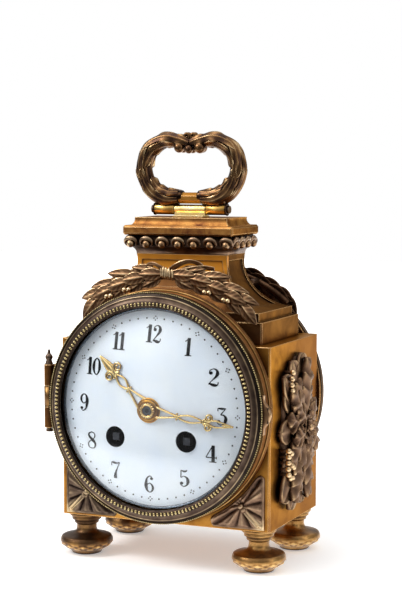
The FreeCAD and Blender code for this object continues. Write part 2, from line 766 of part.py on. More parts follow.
def mesh(teeth, phase, other_teeth, place, other_place):
    """Phase of a gear whose gap meets the tooth of the one it runs with."""
    a = direction(place, other_place)
    return a + math.pi - teeth / other_teeth * (phase - a) - math.pi / other_teeth


centre = (0.0, 0.0)
going = winding_places["going"]
strike = winding_places["strike"]
second_length = distance(barrel_module, barrel_teeth, second_pinion)
centre_length = distance(second_module, second_teeth, centre_pinion)
second = meeting(going, second_length, centre, centre_length, -1)
strike_second = meeting(strike, second_length, centre, centre_length + 2.65, 1)
third = away(centre, distance(centre_module, centre_teeth, third_pinion), 100)
fourth = away(third, distance(third_module, third_teeth, fourth_pinion), 60)
escape = away(fourth, distance(fourth_module, fourth_teeth, escape_pinion), 0)
pin_place = away(strike_second, distance(second_module, second_teeth, pin_pinion), 75)
fly_place = away(pin_place, distance(pin_module, pin_teeth, fly_pinion), 150)

# Depth of each layer between the plates, counted from the back plate inwards
barrel_back = gap_back - 7.0
barrel_front = gap_front + 0.8
second_layer = gap_back - 5.6
centre_layer = gap_back - 3.4
third_layer = gap_front + 4.0
fourth_layer = gap_front + 9.0
pivot = 0.6


def arbor(radius, place, y0=None, y1=None):
    """A steel arbor between the plates, with a thinner pivot in each plate."""
    front = gap_front + 0.3 if y0 is None else y0
    back = gap_back - 0.3 if y1 is None else y1
    return [
        rod(radius, front, back, *place),
        rod(pivot, gap_front - 1.4, front, *place),
        rod(pivot, back, gap_back + 1.4, *place),
    ]


def train_wheel(place, arbor_radius, wheel, pinion):
    """One wheel, pinion and arbor pressed together. Each gear is (teeth, module, phase, y0, y1)."""
    teeth, module, phase, y0, y1 = wheel
    disc = spoked(gear(teeth, module, phase, True, place, y0, y1), teeth * module / 2, place, y0, y1)
    leaves = gear(pinion[0], pinion[1], pinion[2], False, place, pinion[3], pinion[4])
    return fused([disc, leaves] + arbor(arbor_radius, place))


# Barrels: a toothed drum with the mainspring inside, on a winding arbor with its ratchet and square
arbor_radius = 2.0
barrel_radius = barrel_teeth * barrel_module / 2 - 1.4
square_half = 1.6
square_front = dial_apex + 2.0
ratchet_front = plate_front - 1.9
ratchet_back = plate_front - 0.5
ratchet_radius = 5.2


def barrel(place, phase):
    wheel = gear(barrel_teeth, barrel_module, phase, True, place, barrel_back - 2, barrel_back)
    drum_part = rod(barrel_radius, barrel_front, barrel_back - 1, *place)
    inside = rod(barrel_radius - 1.0, barrel_front + 1.2, barrel_back - 2.0, *place)
    hole = rod(arbor_radius + running_gap, barrel_front - 1, barrel_back + 1, *place)
    return fused([wheel, drum_part]).cut(inside).cut(hole)


def mainspring(place):
    """A coiled strip: half circles whose radius grows by half a pitch each time."""
    strip = 0.5
    pitch = 1.25
    turns = 6
    inner = 5.0
    y0 = barrel_front + 1.6
    y1 = barrel_back - 2.4
    curves = {-1: [], 1: []}
    shift = 0.0
    for k in range(2 * turns):
        radius = inner + k * pitch / 2
        facing = 1 if k % 2 == 0 else -1
        for edge in (-1, 1):
            r = radius + edge * strip / 2
            middle = place[0] + shift
            start = at(middle + facing * r, y0, place[1])
            crown = at(middle, y0, place[1] + facing * r)
            end = at(middle - facing * r, y0, place[1])
            curves[edge].append(Part.Arc(start, crown, end).toShape())
        shift += facing * pitch / 2
    starts = [curves[edge][0].valueAt(curves[edge][0].FirstParameter) for edge in (-1, 1)]
    ends = [curves[edge][-1].valueAt(curves[edge][-1].LastParameter) for edge in (-1, 1)]
    lines = [Part.makeLine(*starts), Part.makeLine(*ends)]
    wire = Part.Wire(Part.__sortEdges__(curves[-1] + curves[1] + lines))
    return Part.Face(wire).extrude(V(0, y1 - y0, 0))


def winding_arbor(place):
    shaft = rod(arbor_radius, plate_front - 2.5, gap_back - 0.4, *place)
    square = box(place[0] - square_half, place[0] + square_half, square_front, plate_front - 2.5,
                 dial_height + place[1] - square_half, dial_height + place[1] + square_half)
    tail = rod(1.4, gap_back - 0.4, gap_back + 1.6, *place)
    teeth = 18
    saw = []
    for i in range(teeth):
        a = 2 * math.pi * i / teeth
        for radius, turn in ((ratchet_radius, a), (0.84 * ratchet_radius, a + 0.3 * math.pi / teeth)):
            u = place[0] + radius * math.cos(turn)
            v = place[1] + radius * math.sin(turn)
            saw.append((u, dial_height + v))
    return fused([shaft, square, tail, prism(saw, ratchet_front, ratchet_back)])


def click(place, side):
    """A click on its stud, its nose just clear of the ratchet's tips."""
    stud = away(place, ratchet_radius + 4.6, 90 - side * 100)
    nose = away(place, ratchet_radius + 0.35, 90 - side * 60)
    a = direction(stud, nose)
    wide_end = [away(stud, 1.5, math.degrees(a) + turn) for turn in (90, 180, 270)]
    outline = [(u, dial_height + v) for u, v in wide_end + [nose]]
    return fused([
        prism(outline, ratchet_front, ratchet_back), rod(1.0, ratchet_front - 0.6, plate_front + 1.0, *stud)
    ])


second_phase = mesh(barrel_teeth, 0.0, second_pinion, going, second)
centre_phase = mesh(second_teeth, 0.0, centre_pinion, second, centre)
third_phase = mesh(centre_teeth, 0.0, third_pinion, centre, third)
fourth_phase = mesh(third_teeth, 0.0, fourth_pinion, third, fourth)
escape_phase = mesh(fourth_teeth, 0.0, escape_pinion, fourth, escape)
strike_second_phase = mesh(barrel_teeth, 0.0, second_pinion, strike, strike_second)
pin_phase = mesh(second_teeth, 0.0, pin_pinion, strike_second, pin_place)
fly_phase = mesh(pin_teeth, 0.0, fly_pinion, pin_place, fly_place)
pinion_reach = 0.8

clicks = []
for name, place in winding_places.items():
    parts[name + "_barrel"] = barrel(place, 0.0)
    parts[name + "_mainspring"] = mainspring(place)
    parts[name + "_arbor"] = winding_arbor(place)
    clicks.append(click(place, 1 if place[0] > 0 else -1))
parts["clicks"] = Part.makeCompound(clicks)
second_wheel_layer = (second_layer, second_layer + 1.0)
second_pinion_layer = (barrel_back - 2.6, barrel_back + 0.4)
parts["second_wheel"] = train_wheel(
    second, 1.0, (second_teeth, second_module, 0.0) + second_wheel_layer,
    (second_pinion, barrel_module, second_phase) + second_pinion_layer,
)
parts["strike_second_wheel"] = train_wheel(
    strike_second, 1.0, (second_teeth, second_module, 0.0) + second_wheel_layer,
    (second_pinion, barrel_module, strike_second_phase) + second_pinion_layer,
)
centre_wheel = spoked(
    gear(centre_teeth, centre_module, 0.0, True, centre, centre_layer, centre_layer + 1.0),
    centre_teeth * centre_module / 2, centre, centre_layer, centre_layer + 1.0,
)
centre_leaves = gear(
    centre_pinion, second_module, centre_phase, False, centre, second_layer - 0.6, second_layer + 1.6
)
hand_tip = dial_apex - 2.2
parts["centre_wheel"] = fused([
    centre_wheel, centre_leaves, rod(1.2, gap_front + 0.3, gap_back - 0.3),
    rod(1.0, hand_tip, gap_front + 0.3), rod(pivot, gap_back - 0.3, gap_back + 1.4),
])
parts["third_wheel"] = train_wheel(
    third, 0.8, (third_teeth, third_module, 0.0, third_layer, third_layer + 0.9),
    (third_pinion, centre_module, third_phase,
     centre_layer - pinion_reach, centre_layer + 1.0 + pinion_reach),
)
parts["fourth_wheel"] = train_wheel(
    fourth, 0.7, (fourth_teeth, fourth_module, 0.0, fourth_layer, fourth_layer + 0.8),
    (fourth_pinion, third_module, fourth_phase, third_layer - pinion_reach, third_layer + 0.9 + pinion_reach),
)

# Platform escapement on the back plate: escape wheel, lever and balance under one bridge
platform_y = plate_back + 1.4
escape_y = platform_y + 1.3
lever_y = platform_y + 0.3
balance_y = platform_y + 2.4
bridge_y = platform_y + 4.2
lever_place = away(escape, 6.5, 180)
balance_place = away(lever_place, 7.0, 180)
escape_radius = 4.2
escape_root = 3.0
escape_outline = []
for i in range(15):
    a = 2 * math.pi * i / 15
    tooth = ((escape_radius, 0.0), (escape_radius, 0.05), (escape_root, 0.16), (escape_root, 0.34))
    for radius, turn in tooth:
        u = escape[0] + radius * math.cos(a + turn)
        v = escape[1] + radius * math.sin(a + turn)
        escape_outline.append((u, dial_height + v))
parts["escape_wheel"] = fused([
    prism(escape_outline, escape_y, escape_y + 0.6),
    gear(escape_pinion, fourth_module, escape_phase, False, escape,
         fourth_layer - pinion_reach, fourth_layer + 0.8 + pinion_reach),
    rod(0.5, gap_front + 0.3, bridge_y - 0.2, *escape), rod(0.3, gap_front - 1.4, gap_front + 0.3, *escape),
    rod(0.3, bridge_y - 0.2, bridge_y + 0.8, *escape),
])


def lever():
    u, v = lever_place[0], dial_height + lever_place[1]
    outline = [
        (u + 2.2, v + 2.6), (u + 1.0, v + 0.7), (u - 4.0, v + 0.45), (u - 5.0, v + 0.9), (u - 5.0, v - 0.9),
        (u - 4.0, v - 0.45), (u + 1.0, v - 0.7), (u + 2.2, v - 2.6), (u + 3.0, v - 2.2), (u + 1.8, v),
        (u + 3.0, v + 2.2),
    ]
    return fused([
        prism(outline, lever_y, lever_y + 0.6), rod(0.4, lever_y, bridge_y - 0.2, *lever_place),
        rod(0.25, platform_y - 1.0, lever_y, *lever_place),
        rod(0.25, bridge_y - 0.2, bridge_y + 0.8, *lever_place),
    ])


def balance():
    rim = rod(6.4, balance_y, balance_y + 0.9, *balance_place).cut(
        rod(5.5, balance_y - 1, balance_y + 2, *balance_place))
    u, v = balance_place[0], dial_height + balance_place[1]
    arm = box(u - 5.8, u + 5.8, balance_y, balance_y + 0.9, v - 0.6, v + 0.6)
    return fused([
        rim, arm, rod(0.5, lever_y, bridge_y - 0.2, *balance_place),
        rod(0.25, platform_y - 1.0, lever_y, *balance_place),
        rod(0.25, bridge_y - 0.2, bridge_y + 0.8, *balance_place),
    ])


parts["lever"] = lever()
parts["balance"] = balance()
platform_left = balance_place[0] - 7.5
platform_right = escape[0] + 6.5
platform_low = dial_height + escape[1] - 7.5
platform_high = dial_height + escape[1] + 7.5
platform = box(platform_left, platform_right, plate_back, platform_y, platform_low, platform_high)
bridge_low = dial_height + escape[1] - 1.3
bridge_high = dial_height + escape[1] + 1.3
bridge = fused([
    box(platform_left, platform_right, bridge_y, bridge_y + 1.2, bridge_low, bridge_high),
    box(platform_left, platform_left + 0.9, platform_y, bridge_y, bridge_low, bridge_high),
    box(platform_right - 1.8, platform_right, platform_y, bridge_y, bridge_low, bridge_high),
])
for place, radius in ((escape, 0.3), (lever_place, 0.25), (balance_place, 0.25)):
    hole = rod(radius + running_gap, bridge_y - 1, bridge_y + 2, *place)
    bridge = bridge.cut(hole)
    platform = platform.cut(rod(radius + running_gap, plate_back - 1, platform_y + 1, *place))
platform = platform.cut(rod(0.5 + running_gap, plate_back - 1, platform_y + 1, *escape))
parts["platform"] = platform
parts["balance_bridge"] = bridge

# Strike train: pin wheel with lifting pins, fly, hammer and bell
lifting_pins = []
for i in range(10):
    spot = away(pin_place, 0.86 * pin_teeth * pin_module / 2, 36 * i)
    lifting_pins.append(rod(0.35, centre_layer + 0.5, centre_layer + 2.2, *spot))
pin_wheel = train_wheel(
    pin_place, 0.9, (pin_teeth, pin_module, 0.0, centre_layer, centre_layer + 1.0),
    (pin_pinion, second_module, pin_phase, second_layer - 0.6, second_layer + 1.6),
)
parts["pin_wheel"] = fused([pin_wheel] + lifting_pins)
fly_low = gap_front + 6.0
fly_high = gap_front + 16.0
vane = box(fly_place[0] - 3.8, fly_place[0] + 3.8, fly_low, fly_high,
           dial_height + fly_place[1] - 0.3, dial_height + fly_place[1] + 0.3)
fly_leaves = gear(
    fly_pinion, pin_module, fly_phase, False, fly_place,
    centre_layer - pinion_reach, centre_layer + 1.0 + pinion_reach,
)
parts["fly"] = fused([fly_leaves, vane] + arbor(0.7, fly_place))
bell_place = (0.0, -6.0)
bell_mouth = plate_back + 9.0
bell_depth = 17.0
bell_sphere = (bell_radius ** 2 + bell_depth ** 2) / (2 * bell_depth)
bell_centre = bell_mouth + bell_depth - bell_sphere
bell_wall = 1.4
bell_skin = Part.makeSphere(bell_sphere, at(bell_place[0], bell_centre, bell_place[1])).cut(
    Part.makeSphere(bell_sphere - bell_wall, at(bell_place[0], bell_centre, bell_place[1])))
bell_post_radius = 1.6
bell_tip = bell_mouth + bell_depth
bell_seat = bell_tip - bell_wall - 0.15
bell = bell_skin.common(rod(2 * bell_radius, bell_mouth, bell_tip + 5, *bell_place))
parts["bell"] = bell.cut(rod(bell_post_radius, bell_mouth, bell_tip + 5, *bell_place))
parts["bell_stand"] = fused([
    rod(3.4, plate_back, plate_back + 2.0, *bell_place),
    rod(2.2, plate_back, bell_seat, *bell_place),
    rod(bell_post_radius, bell_seat, bell_tip + 0.4, *bell_place),
    rod(2.6, bell_tip + 0.05, bell_tip + 2.0, *bell_place),
])
hammer_place = (-6.0, -34.2)
hammer_y = bell_mouth + 2.0
head_place = (bell_place[0] + 7.4, bell_place[1] - bell_radius - 1.9)
hammer_arm = [
    (hammer_place[0] - 1.2, dial_height + hammer_place[1] - 1.2),
    (head_place[0], dial_height + head_place[1] - 0.8),
    (head_place[0], dial_height + head_place[1] + 0.8),
    (hammer_place[0] - 1.2, dial_height + hammer_place[1] + 1.2),
]
hammer_head = rod(1.9, hammer_y - 2.0, hammer_y + 3.0, *head_place)
parts["hammer"] = fused([
    prism(hammer_arm, hammer_y, hammer_y + 1.2), hammer_head,
    rod(1.0, gap_front + 0.3, hammer_y + 1.2, *hammer_place),
    rod(pivot, gap_front - 1.4, gap_front + 0.3, *hammer_place),
])

# Plates, pillars and the holes that carry the arbors
front_plate = rod(plate_radius, plate_front, gap_front)
back_plate = rod(plate_radius, gap_back, plate_back)
for sign in (-1, 1):
    tie_hole = rod(tie_radius + tie_clearance, plate_front - 1, plate_back + 1, sign * tie_place, tie_rise)
    front_plate = front_plate.cut(tie_hole)
    back_plate = back_plate.cut(tie_hole)
pivot_places = [second, strike_second, third, fourth, pin_place, fly_place]
for place in pivot_places:
    front_plate = front_plate.cut(rod(pivot + running_gap, gap_front - 1.5, gap_front + 1, *place))
    back_plate = back_plate.cut(rod(pivot + running_gap, gap_back - 1, gap_back + 1.5, *place))
front_plate = front_plate.cut(rod(1.0 + running_gap, plate_front - 1, gap_front + 1))
back_plate = back_plate.cut(rod(pivot + running_gap, gap_back - 1, gap_back + 1.5))
front_plate = front_plate.cut(rod(0.3 + running_gap, gap_front - 1.5, gap_front + 1, *escape))
back_plate = back_plate.cut(rod(0.5 + 0.3, gap_back - 1, plate_back + 1, *escape))
for place in (lever_place, balance_place):
    back_plate = back_plate.cut(rod(0.5, gap_back + 0.5, plate_back + 1, *place))
front_plate = front_plate.cut(rod(pivot + running_gap, gap_front - 1.5, gap_front + 1, *hammer_place))
back_plate = back_plate.cut(rod(1.0 + running_gap, gap_back - 1, plate_back + 1, *hammer_place))
for place in winding_places.values():
    front_plate = front_plate.cut(rod(arbor_radius + running_gap, plate_front - 1, gap_front + 1, *place))
    back_plate = back_plate.cut(rod(1.4 + running_gap, gap_back - 1, gap_back + 1.7, *place))
    stud = away(place, ratchet_radius + 4.6, 90 - (100 if place[0] > 0 else -100))
    front_plate = front_plate.cut(rod(1.0, plate_front - 1, plate_front + 1.0, *stud))
pillars = []
for angle in (0, 80, 180, 270):
    place = away(centre, plate_radius - 4, angle)
    stem = rod(1.2, plate_front + 0.4, plate_back, *place)
    front_plate = front_plate.cut(stem)
    back_plate = back_plate.cut(stem)
    body = rod(2.2, gap_front, gap_back, *place)
    nut = rod(2.0, plate_back, plate_back + 1.4, *place)
    pillars.append(fused([stem, body, nut]))
parts["front_plate"] = front_plate
parts["back_plate"] = back_plate
parts["pillars"] = Part.makeCompound(pillars)

# Motion work under the dial, and the fretted hands that follow the dial's dome
motion_module = 2 * motion_distance / (cannon_teeth + minute_teeth)
hour_module = 2 * motion_distance / (minute_pinion + hour_teeth)
minute_place = (0.0, motion_distance)
minute_phase = mesh(cannon_teeth, 0.0, minute_teeth, centre, minute_place)
hour_phase = mesh(minute_pinion, 0.0, hour_teeth, minute_place, centre)
cannon_outer = 1.7
pipe_inner = cannon_outer + 0.1
pipe_outer = 2.5
minute_layer = plate_front - 1.8
hour_layer = plate_front - 3.8
hour_pipe_front = dial_apex - hour_hand_lift - hand_thickness - 0.1
cannon_front = dial_apex - minute_hand_lift - hand_thickness - 0.3
cannon = fused([
    gear(cannon_teeth, motion_module, 0.0, False, centre, minute_layer - 0.4, plate_front - 0.3),
    rod(cannon_outer, cannon_front, plate_front - 0.3),
])
parts["cannon_pinion"] = cannon.cut(rod(1.0 + running_gap, dial_apex - 10, plate_front + 1))
minute_stud = rod(0.8, hour_layer - 0.4, gap_front, *minute_place)
parts["front_plate"] = parts["front_plate"].fuse(minute_stud).removeSplitter()
minute_back = plate_front - 0.6
minute_disc = gear(minute_teeth, motion_module, minute_phase, True, minute_place, minute_layer, minute_back)
minute_wheel = fused([
    spoked(minute_disc, minute_teeth * motion_module / 2, minute_place, minute_layer, minute_back),
    gear(minute_pinion, hour_module, 0.0, False, minute_place, hour_layer - 0.4, minute_back),
])
minute_bore = rod(0.8 + running_gap, hour_layer - 2, plate_front + 2, *minute_place)
parts["minute_wheel"] = minute_wheel.cut(minute_bore)
hour_wheel = fused([
    gear(hour_teeth, hour_module, hour_phase, True, centre, hour_layer, hour_layer + 1.0),
    rod(pipe_outer, hour_pipe_front, hour_layer + 1.0),
])
parts["hour_wheel"] = hour_wheel.cut(rod(pipe_inner, dial_apex - 10, plate_front + 1))


def hand(outline, lift, thickness, holes, hub_radius):
    """A hand bent to a dome over the dial, drawn upright, with its eyes cut through."""
    outer = dial_sphere + lift + thickness
    shell_part = Part.makeSphere(outer, at(0, dial_centre_y, 0)).cut(
        Part.makeSphere(outer - thickness, at(0, dial_centre_y, 0)))
    points = [(u, dial_height + v) for u, v in outline]
    points += [(-u, z) for u, z in reversed(points) if u > 0]
    blank = prism(points, dial_apex - 10, dial_edge + 5).fuse(rod(hub_radius, dial_apex - 10, dial_edge + 5))
    for v, across, up in holes:
        eye = Part.Face(Part.Wire([Part.Ellipse(V(0, 0, 0), up, across).toShape()])).extrude(V(0, 0, 40))
        eye.rotate(V(0, 0, 0), V(0, 0, 1), 90)
        eye.rotate(V(0, 0, 0), V(1, 0, 0), 90)
        eye.translate(at(0, dial_edge + 20, v))
        blank = blank.cut(eye)
    return blank.common(shell_part).removeSplitter()


def turned_hand(shape, degrees):
    copy = shape.copy()
    copy.rotate(at(0, 0, 0), V(0, 1, 0), degrees)
    return copy


minute_angle = 98.0
hour_angle = 312.0
# Half outlines from tail to tip, as (right, share of the hand's length), after the tail in millimetres
minute_half = [
    (0.8, 0.20), (2.3, 0.32), (2.6, 0.42), (1.1, 0.56), (1.8, 0.64), (1.5, 0.70), (0.7, 0.78), (0.0, 1.0),
]
hour_half = [(1.0, 0.22), (3.2, 0.42), (4.1, 0.56), (3.4, 0.68), (1.3, 0.78), (1.0, 0.84), (0.0, 1.0)]
minute_outline = [(0.0, -5.2), (1.5, -4.5), (1.5, 4.0)]
minute_outline += [(right, share * minute_hand_length) for right, share in minute_half]
hour_outline = [(0.0, -4.6), (1.6, -4.2), (1.6, 4.0)]
hour_outline += [(right, share * hour_hand_length) for right, share in hour_half]
minute_holes = [(0.37 * minute_hand_length, 1.2, 2.9), (0.65 * minute_hand_length, 0.7, 1.2)]
hour_holes = [(0.55 * hour_hand_length, 2.3, 3.8)]
minute_hand = hand(minute_outline, minute_hand_lift, hand_thickness, minute_holes, 5.2)
minute_hand = minute_hand.cut(rod(cannon_outer, dial_apex - 10, dial_edge + 5))
hour_hand = hand(hour_outline, hour_hand_lift, hand_thickness, hour_holes, 4.6)
hour_hand = hour_hand.cut(rod(pipe_outer, dial_apex - 10, dial_edge + 5))
parts["minute_hand"] = turned_hand(minute_hand, minute_angle)
parts["hour_hand"] = turned_hand(hour_hand, hour_angle)
parts["hand_nut"] = rod(2.0, cannon_front - 0.7, cannon_front).cut(
    rod(1.0 + running_gap, dial_apex - 10, plate_front))

for name, shape in parts.items():
    shape.exportStep("parts/" + name + ".step")
print(len(parts), "sub-parts, all valid:", all(shape.isValid() for shape in parts.values()))
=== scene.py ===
# %% [markdown]
# # An officer's travelling clock in gilt bronze
# The clock is a small bronze case on four turned feet, with a domed enamel dial behind a convex
# glass, cast ornaments on every face and a swinging handle on top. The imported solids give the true
# sizes and the moving bodies. This lesson dresses them: finishes first, then the carved and pierced
# pieces that a plain solid can't show, then light and camera. Lengths of the clock are in millimetres,
# and they are turned to metres once, when a mesh is made. What a solid already measures is read from
# it, to a tenth of a millimetre.

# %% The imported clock
import math
import bpy
import numpy as np
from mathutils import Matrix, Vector


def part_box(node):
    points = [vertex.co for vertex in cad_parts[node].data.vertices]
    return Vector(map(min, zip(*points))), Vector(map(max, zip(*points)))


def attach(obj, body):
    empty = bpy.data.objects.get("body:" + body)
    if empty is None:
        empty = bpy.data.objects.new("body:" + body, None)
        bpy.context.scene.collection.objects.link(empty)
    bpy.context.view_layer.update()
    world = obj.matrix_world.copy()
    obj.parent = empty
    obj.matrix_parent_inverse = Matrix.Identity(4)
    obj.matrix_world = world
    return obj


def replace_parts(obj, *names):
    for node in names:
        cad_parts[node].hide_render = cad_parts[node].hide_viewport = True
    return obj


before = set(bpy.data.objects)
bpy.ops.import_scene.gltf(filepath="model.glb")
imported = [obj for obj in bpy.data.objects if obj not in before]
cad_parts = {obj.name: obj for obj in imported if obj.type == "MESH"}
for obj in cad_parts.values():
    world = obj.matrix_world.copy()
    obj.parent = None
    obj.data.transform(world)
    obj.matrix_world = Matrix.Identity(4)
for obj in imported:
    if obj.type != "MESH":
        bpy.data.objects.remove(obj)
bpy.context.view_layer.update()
MM = 0.001


def span(node):
    """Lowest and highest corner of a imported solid."""
    return [np.round(np.array(corner) / MM, 1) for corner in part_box(node)]


def middle(node):
    low, high = span(node)
    return (low + high) / 2


dial_z = middle("dial")[2]
case_side = span("case_body")[1][0]
case_front = span("case_body")[0][1]
slab_side = span("top_slab")[1][0]
neck_half = np.array([22.0, 10.7])
print("case", 2 * case_side, "mm wide, dial axis", dial_z, "mm up")

# %% [markdown]
# ## Helpers for finishes
# Colours are given as sRGB hex values, but shaders work in linear light, so one function
# turns the one into the other. A second small function adds a shader node, sets it and links it, so
# that each finish below reads as a list of what it is made of. The last two start a finish and fill a
# colour ramp.

# %% Colour and node helpers
def linear(code):
    parts = [int(code[i:i + 2], 16) / 255 for i in (1, 3, 5)]
    return tuple(c / 12.92 if c <= 0.04045 else ((c + 0.055) / 1.055) ** 2.4 for c in parts) + (1.0,)


def add(tree, kind, inputs=(), **settings):
    made = tree.nodes.new(kind)
    for key, value in settings.items():
        setattr(made, key, value)
    for socket, value in dict(inputs).items():
        if isinstance(value, bpy.types.NodeSocket):
            tree.links.new(value, made.inputs[socket])
        else:
            made.inputs[socket].default_value = value
    return made


def new_finish(name):
    finish = bpy.data.materials.new(name)
    finish.use_nodes = True
    finish.node_tree.nodes.clear()
    return finish, finish.node_tree


def ramp_stops(node, stops):
    elements = node.color_ramp.elements
    while len(elements) < len(stops):
        elements.new(0.5)
    for element, (place, code) in zip(elements, stops):
        element.position = place
        element.color = linear(code)


print("middle grey in linear light:", round(linear("#808080")[0], 3))

# %% [markdown]
# ## Where the gilding differs
# The front of the neck is painted a bright orange gold and made less metallic there: a painted
# reflection of the light above it. The sides are darker low down and towards the back. Both places
# are found from the point's own coordinates, as masks that run softly from 0 to 1.

# %% Masks of the painted neck reflection and the darker sides
def neck_front(tree, place):
    spot = add(tree, "ShaderNodeSeparateXYZ", {0: place})
    aside = add(tree, "ShaderNodeMath", {0: spot.outputs["X"]}, operation="ABSOLUTE")
    high = add(tree, "ShaderNodeMapRange", {"Value": spot.outputs["Z"], 1: 126.0 * MM, 2: 130.0 * MM})
    ahead = add(tree, "ShaderNodeMapRange", {"Value": spot.outputs["Y"], 1: -8.2 * MM, 2: -8.8 * MM})
    inside = add(tree, "ShaderNodeMapRange", {"Value": aside.outputs[0], 1: (neck_half[0] + 0.1) * MM,
                                              2: (neck_half[0] - 0.2) * MM})
    face = add(tree, "ShaderNodeMath", {0: ahead.outputs[0], 1: inside.outputs[0]}, operation="MULTIPLY")
    shown = add(tree, "ShaderNodeMath", {0: high.outputs[0], 1: face.outputs[0]}, operation="MULTIPLY")
    return shown.outputs[0]


def held_sides(tree, place, side):
    """Side is the distance of the darkened face from the middle of the clock."""
    spot = add(tree, "ShaderNodeSeparateXYZ", {0: place})
    aside = add(tree, "ShaderNodeMath", {0: spot.outputs["X"]}, operation="ABSOLUTE")
    face = add(tree, "ShaderNodeMapRange", {"Value": aside.outputs[0], 1: (side - 0.7) * MM,
                                            2: (side - 0.2) * MM})
    back = add(tree, "ShaderNodeMapRange", {"Value": spot.outputs["Y"], 1: -22.0 * MM, 2: 12.0 * MM, 4: 0.8})
    low = add(tree, "ShaderNodeMapRange", {"Value": spot.outputs["Z"], 1: 42.0 * MM, 2: 20.0 * MM, 4: 0.6})
    low_back_mask = add(tree, "ShaderNodeMath", {0: back.outputs[0], 1: low.outputs[0]}, operation="MAXIMUM")
    shown = add(tree, "ShaderNodeMath", {0: low_back_mask.outputs[0], 1: face.outputs[0]}, operation="MULTIPLY")
    return shown.outputs[0]


print("masks for the neck's front and for sides", case_side, "and", slab_side, "mm from the middle")

# %% [markdown]
# ## Gilt bronze
# The case is cast bronze, fire gilt and then lacquered. The flat faces are a warm orange gold with
# cloudy darker patches some 15 mm across. The corners are painted brown, as dirt and as painted shade,
# and the edges are painted bright, as rubbed metal and as a painted highlight. Cloudy noise gives the
# patches, an ambient occlusion node finds the corners, and a bevel node finds the edges by comparing
# its softened normal with the true one.

# %% Gilt bronze finish
def cast_metal(name, clouds, corner, edge, roughness, edge_width, patch=15.0, corner_reach=3.0,
               neck_reflection=None, darker_low_back=None, side=case_side):
    """A lacquered casting: clouds is three colours from dark to light, then corner and edge colours.
    The corner colour is dirt and painted shade, the edge colour rubbed metal and a painted highlight.
    Neck reflection is the colour of the painted reflection on the neck's front, and darker low back
    that of a side low down and towards the back."""
    finish, tree = new_finish(name)
    place = add(tree, "ShaderNodeTexCoord").outputs["Object"]
    cloud = add(tree, "ShaderNodeTexNoise", {"Vector": place, "Scale": 1 / (patch * MM), "Detail": 6.0,
                                             "Roughness": 0.62, "Distortion": 0.6})
    tone = add(tree, "ShaderNodeValToRGB", {"Fac": cloud.outputs["Fac"]})
    ramp_stops(tone, list(zip((0.30, 0.5, 0.72), clouds)))
    base, metallic = tone.outputs["Color"], 1.0
    # The neck's front gets a painted reflection: a bright colour, and less metal.
    if neck_reflection:
        bright = neck_front(tree, place)
        base = add(tree, "ShaderNodeMix", {0: bright, 6: base, 7: linear(neck_reflection)}, data_type="RGBA").outputs[2]
        metal = add(tree, "ShaderNodeMath", {0: bright, 1: -0.7, 2: 1.0}, operation="MULTIPLY_ADD")
        metallic = metal.outputs[0]
    # The sides turn darker low down and towards the back.
    if darker_low_back:
        base = add(tree, "ShaderNodeMix", {0: held_sides(tree, place, side), 6: base, 7: linear(darker_low_back)},
                   data_type="RGBA").outputs[2]
    # Corners darken towards the corner colour: dirt, and painted shade as well.
    hollow = add(tree, "ShaderNodeAmbientOcclusion", {"Distance": corner_reach * MM}, samples=8)
    corner_dirt_and_shade = add(tree, "ShaderNodeMapRange", {"Value": hollow.outputs["AO"], 1: 0.35, 2: 0.95, 3: 0.9, 4: 0.0})
    corner_darkened = add(tree, "ShaderNodeMix", {0: corner_dirt_and_shade.outputs[0], 6: base, 7: linear(corner)}, data_type="RGBA")
    # Edges brighten towards the edge colour: rubbed metal, and a painted highlight as well.
    soft = add(tree, "ShaderNodeBevel", {"Radius": edge_width * MM}, samples=6)
    true = add(tree, "ShaderNodeNewGeometry")
    turn = add(tree, "ShaderNodeVectorMath", {0: soft.outputs[0], 1: true.outputs["Normal"]},
               operation="DOT_PRODUCT")
    rubbed = add(tree, "ShaderNodeMapRange", {"Value": turn.outputs["Value"], 1: 0.995, 2: 0.90, 4: 0.95})
    open_air = add(tree, "ShaderNodeMapRange", {"Value": hollow.outputs["AO"], 1: 0.55, 2: 0.85})
    worn = add(tree, "ShaderNodeMath", {0: rubbed.outputs[0], 1: open_air.outputs[0]}, operation="MULTIPLY")
    colour = add(tree, "ShaderNodeMix", {0: worn.outputs[0], 6: corner_darkened.outputs[2], 7: linear(edge)},
                 data_type="RGBA")
    grain = add(tree, "ShaderNodeTexNoise", {"Vector": place, "Scale": 1 / (0.9 * MM), "Detail": 4.0})
    shine = add(tree, "ShaderNodeMapRange", {"Value": cloud.outputs["Fac"], 1: 0.3, 2: 0.7,
                                             3: roughness + 0.10, 4: roughness - 0.06})
    bump = add(tree, "ShaderNodeBump", {"Height": grain.outputs["Fac"], "Strength": 0.10,
                                        "Distance": 0.05 * MM, "Normal": soft.outputs[0]})
    shader = add(tree, "ShaderNodeBsdfPrincipled", {
        "Base Color": colour.outputs[2], "Metallic": metallic, "Specular Tint": linear("#EBD2B6"),
        "Roughness": shine.outputs[0], "Normal": bump.outputs[0]})
    add(tree, "ShaderNodeOutputMaterial", {"Surface": shader.outputs[0]})
    return finish


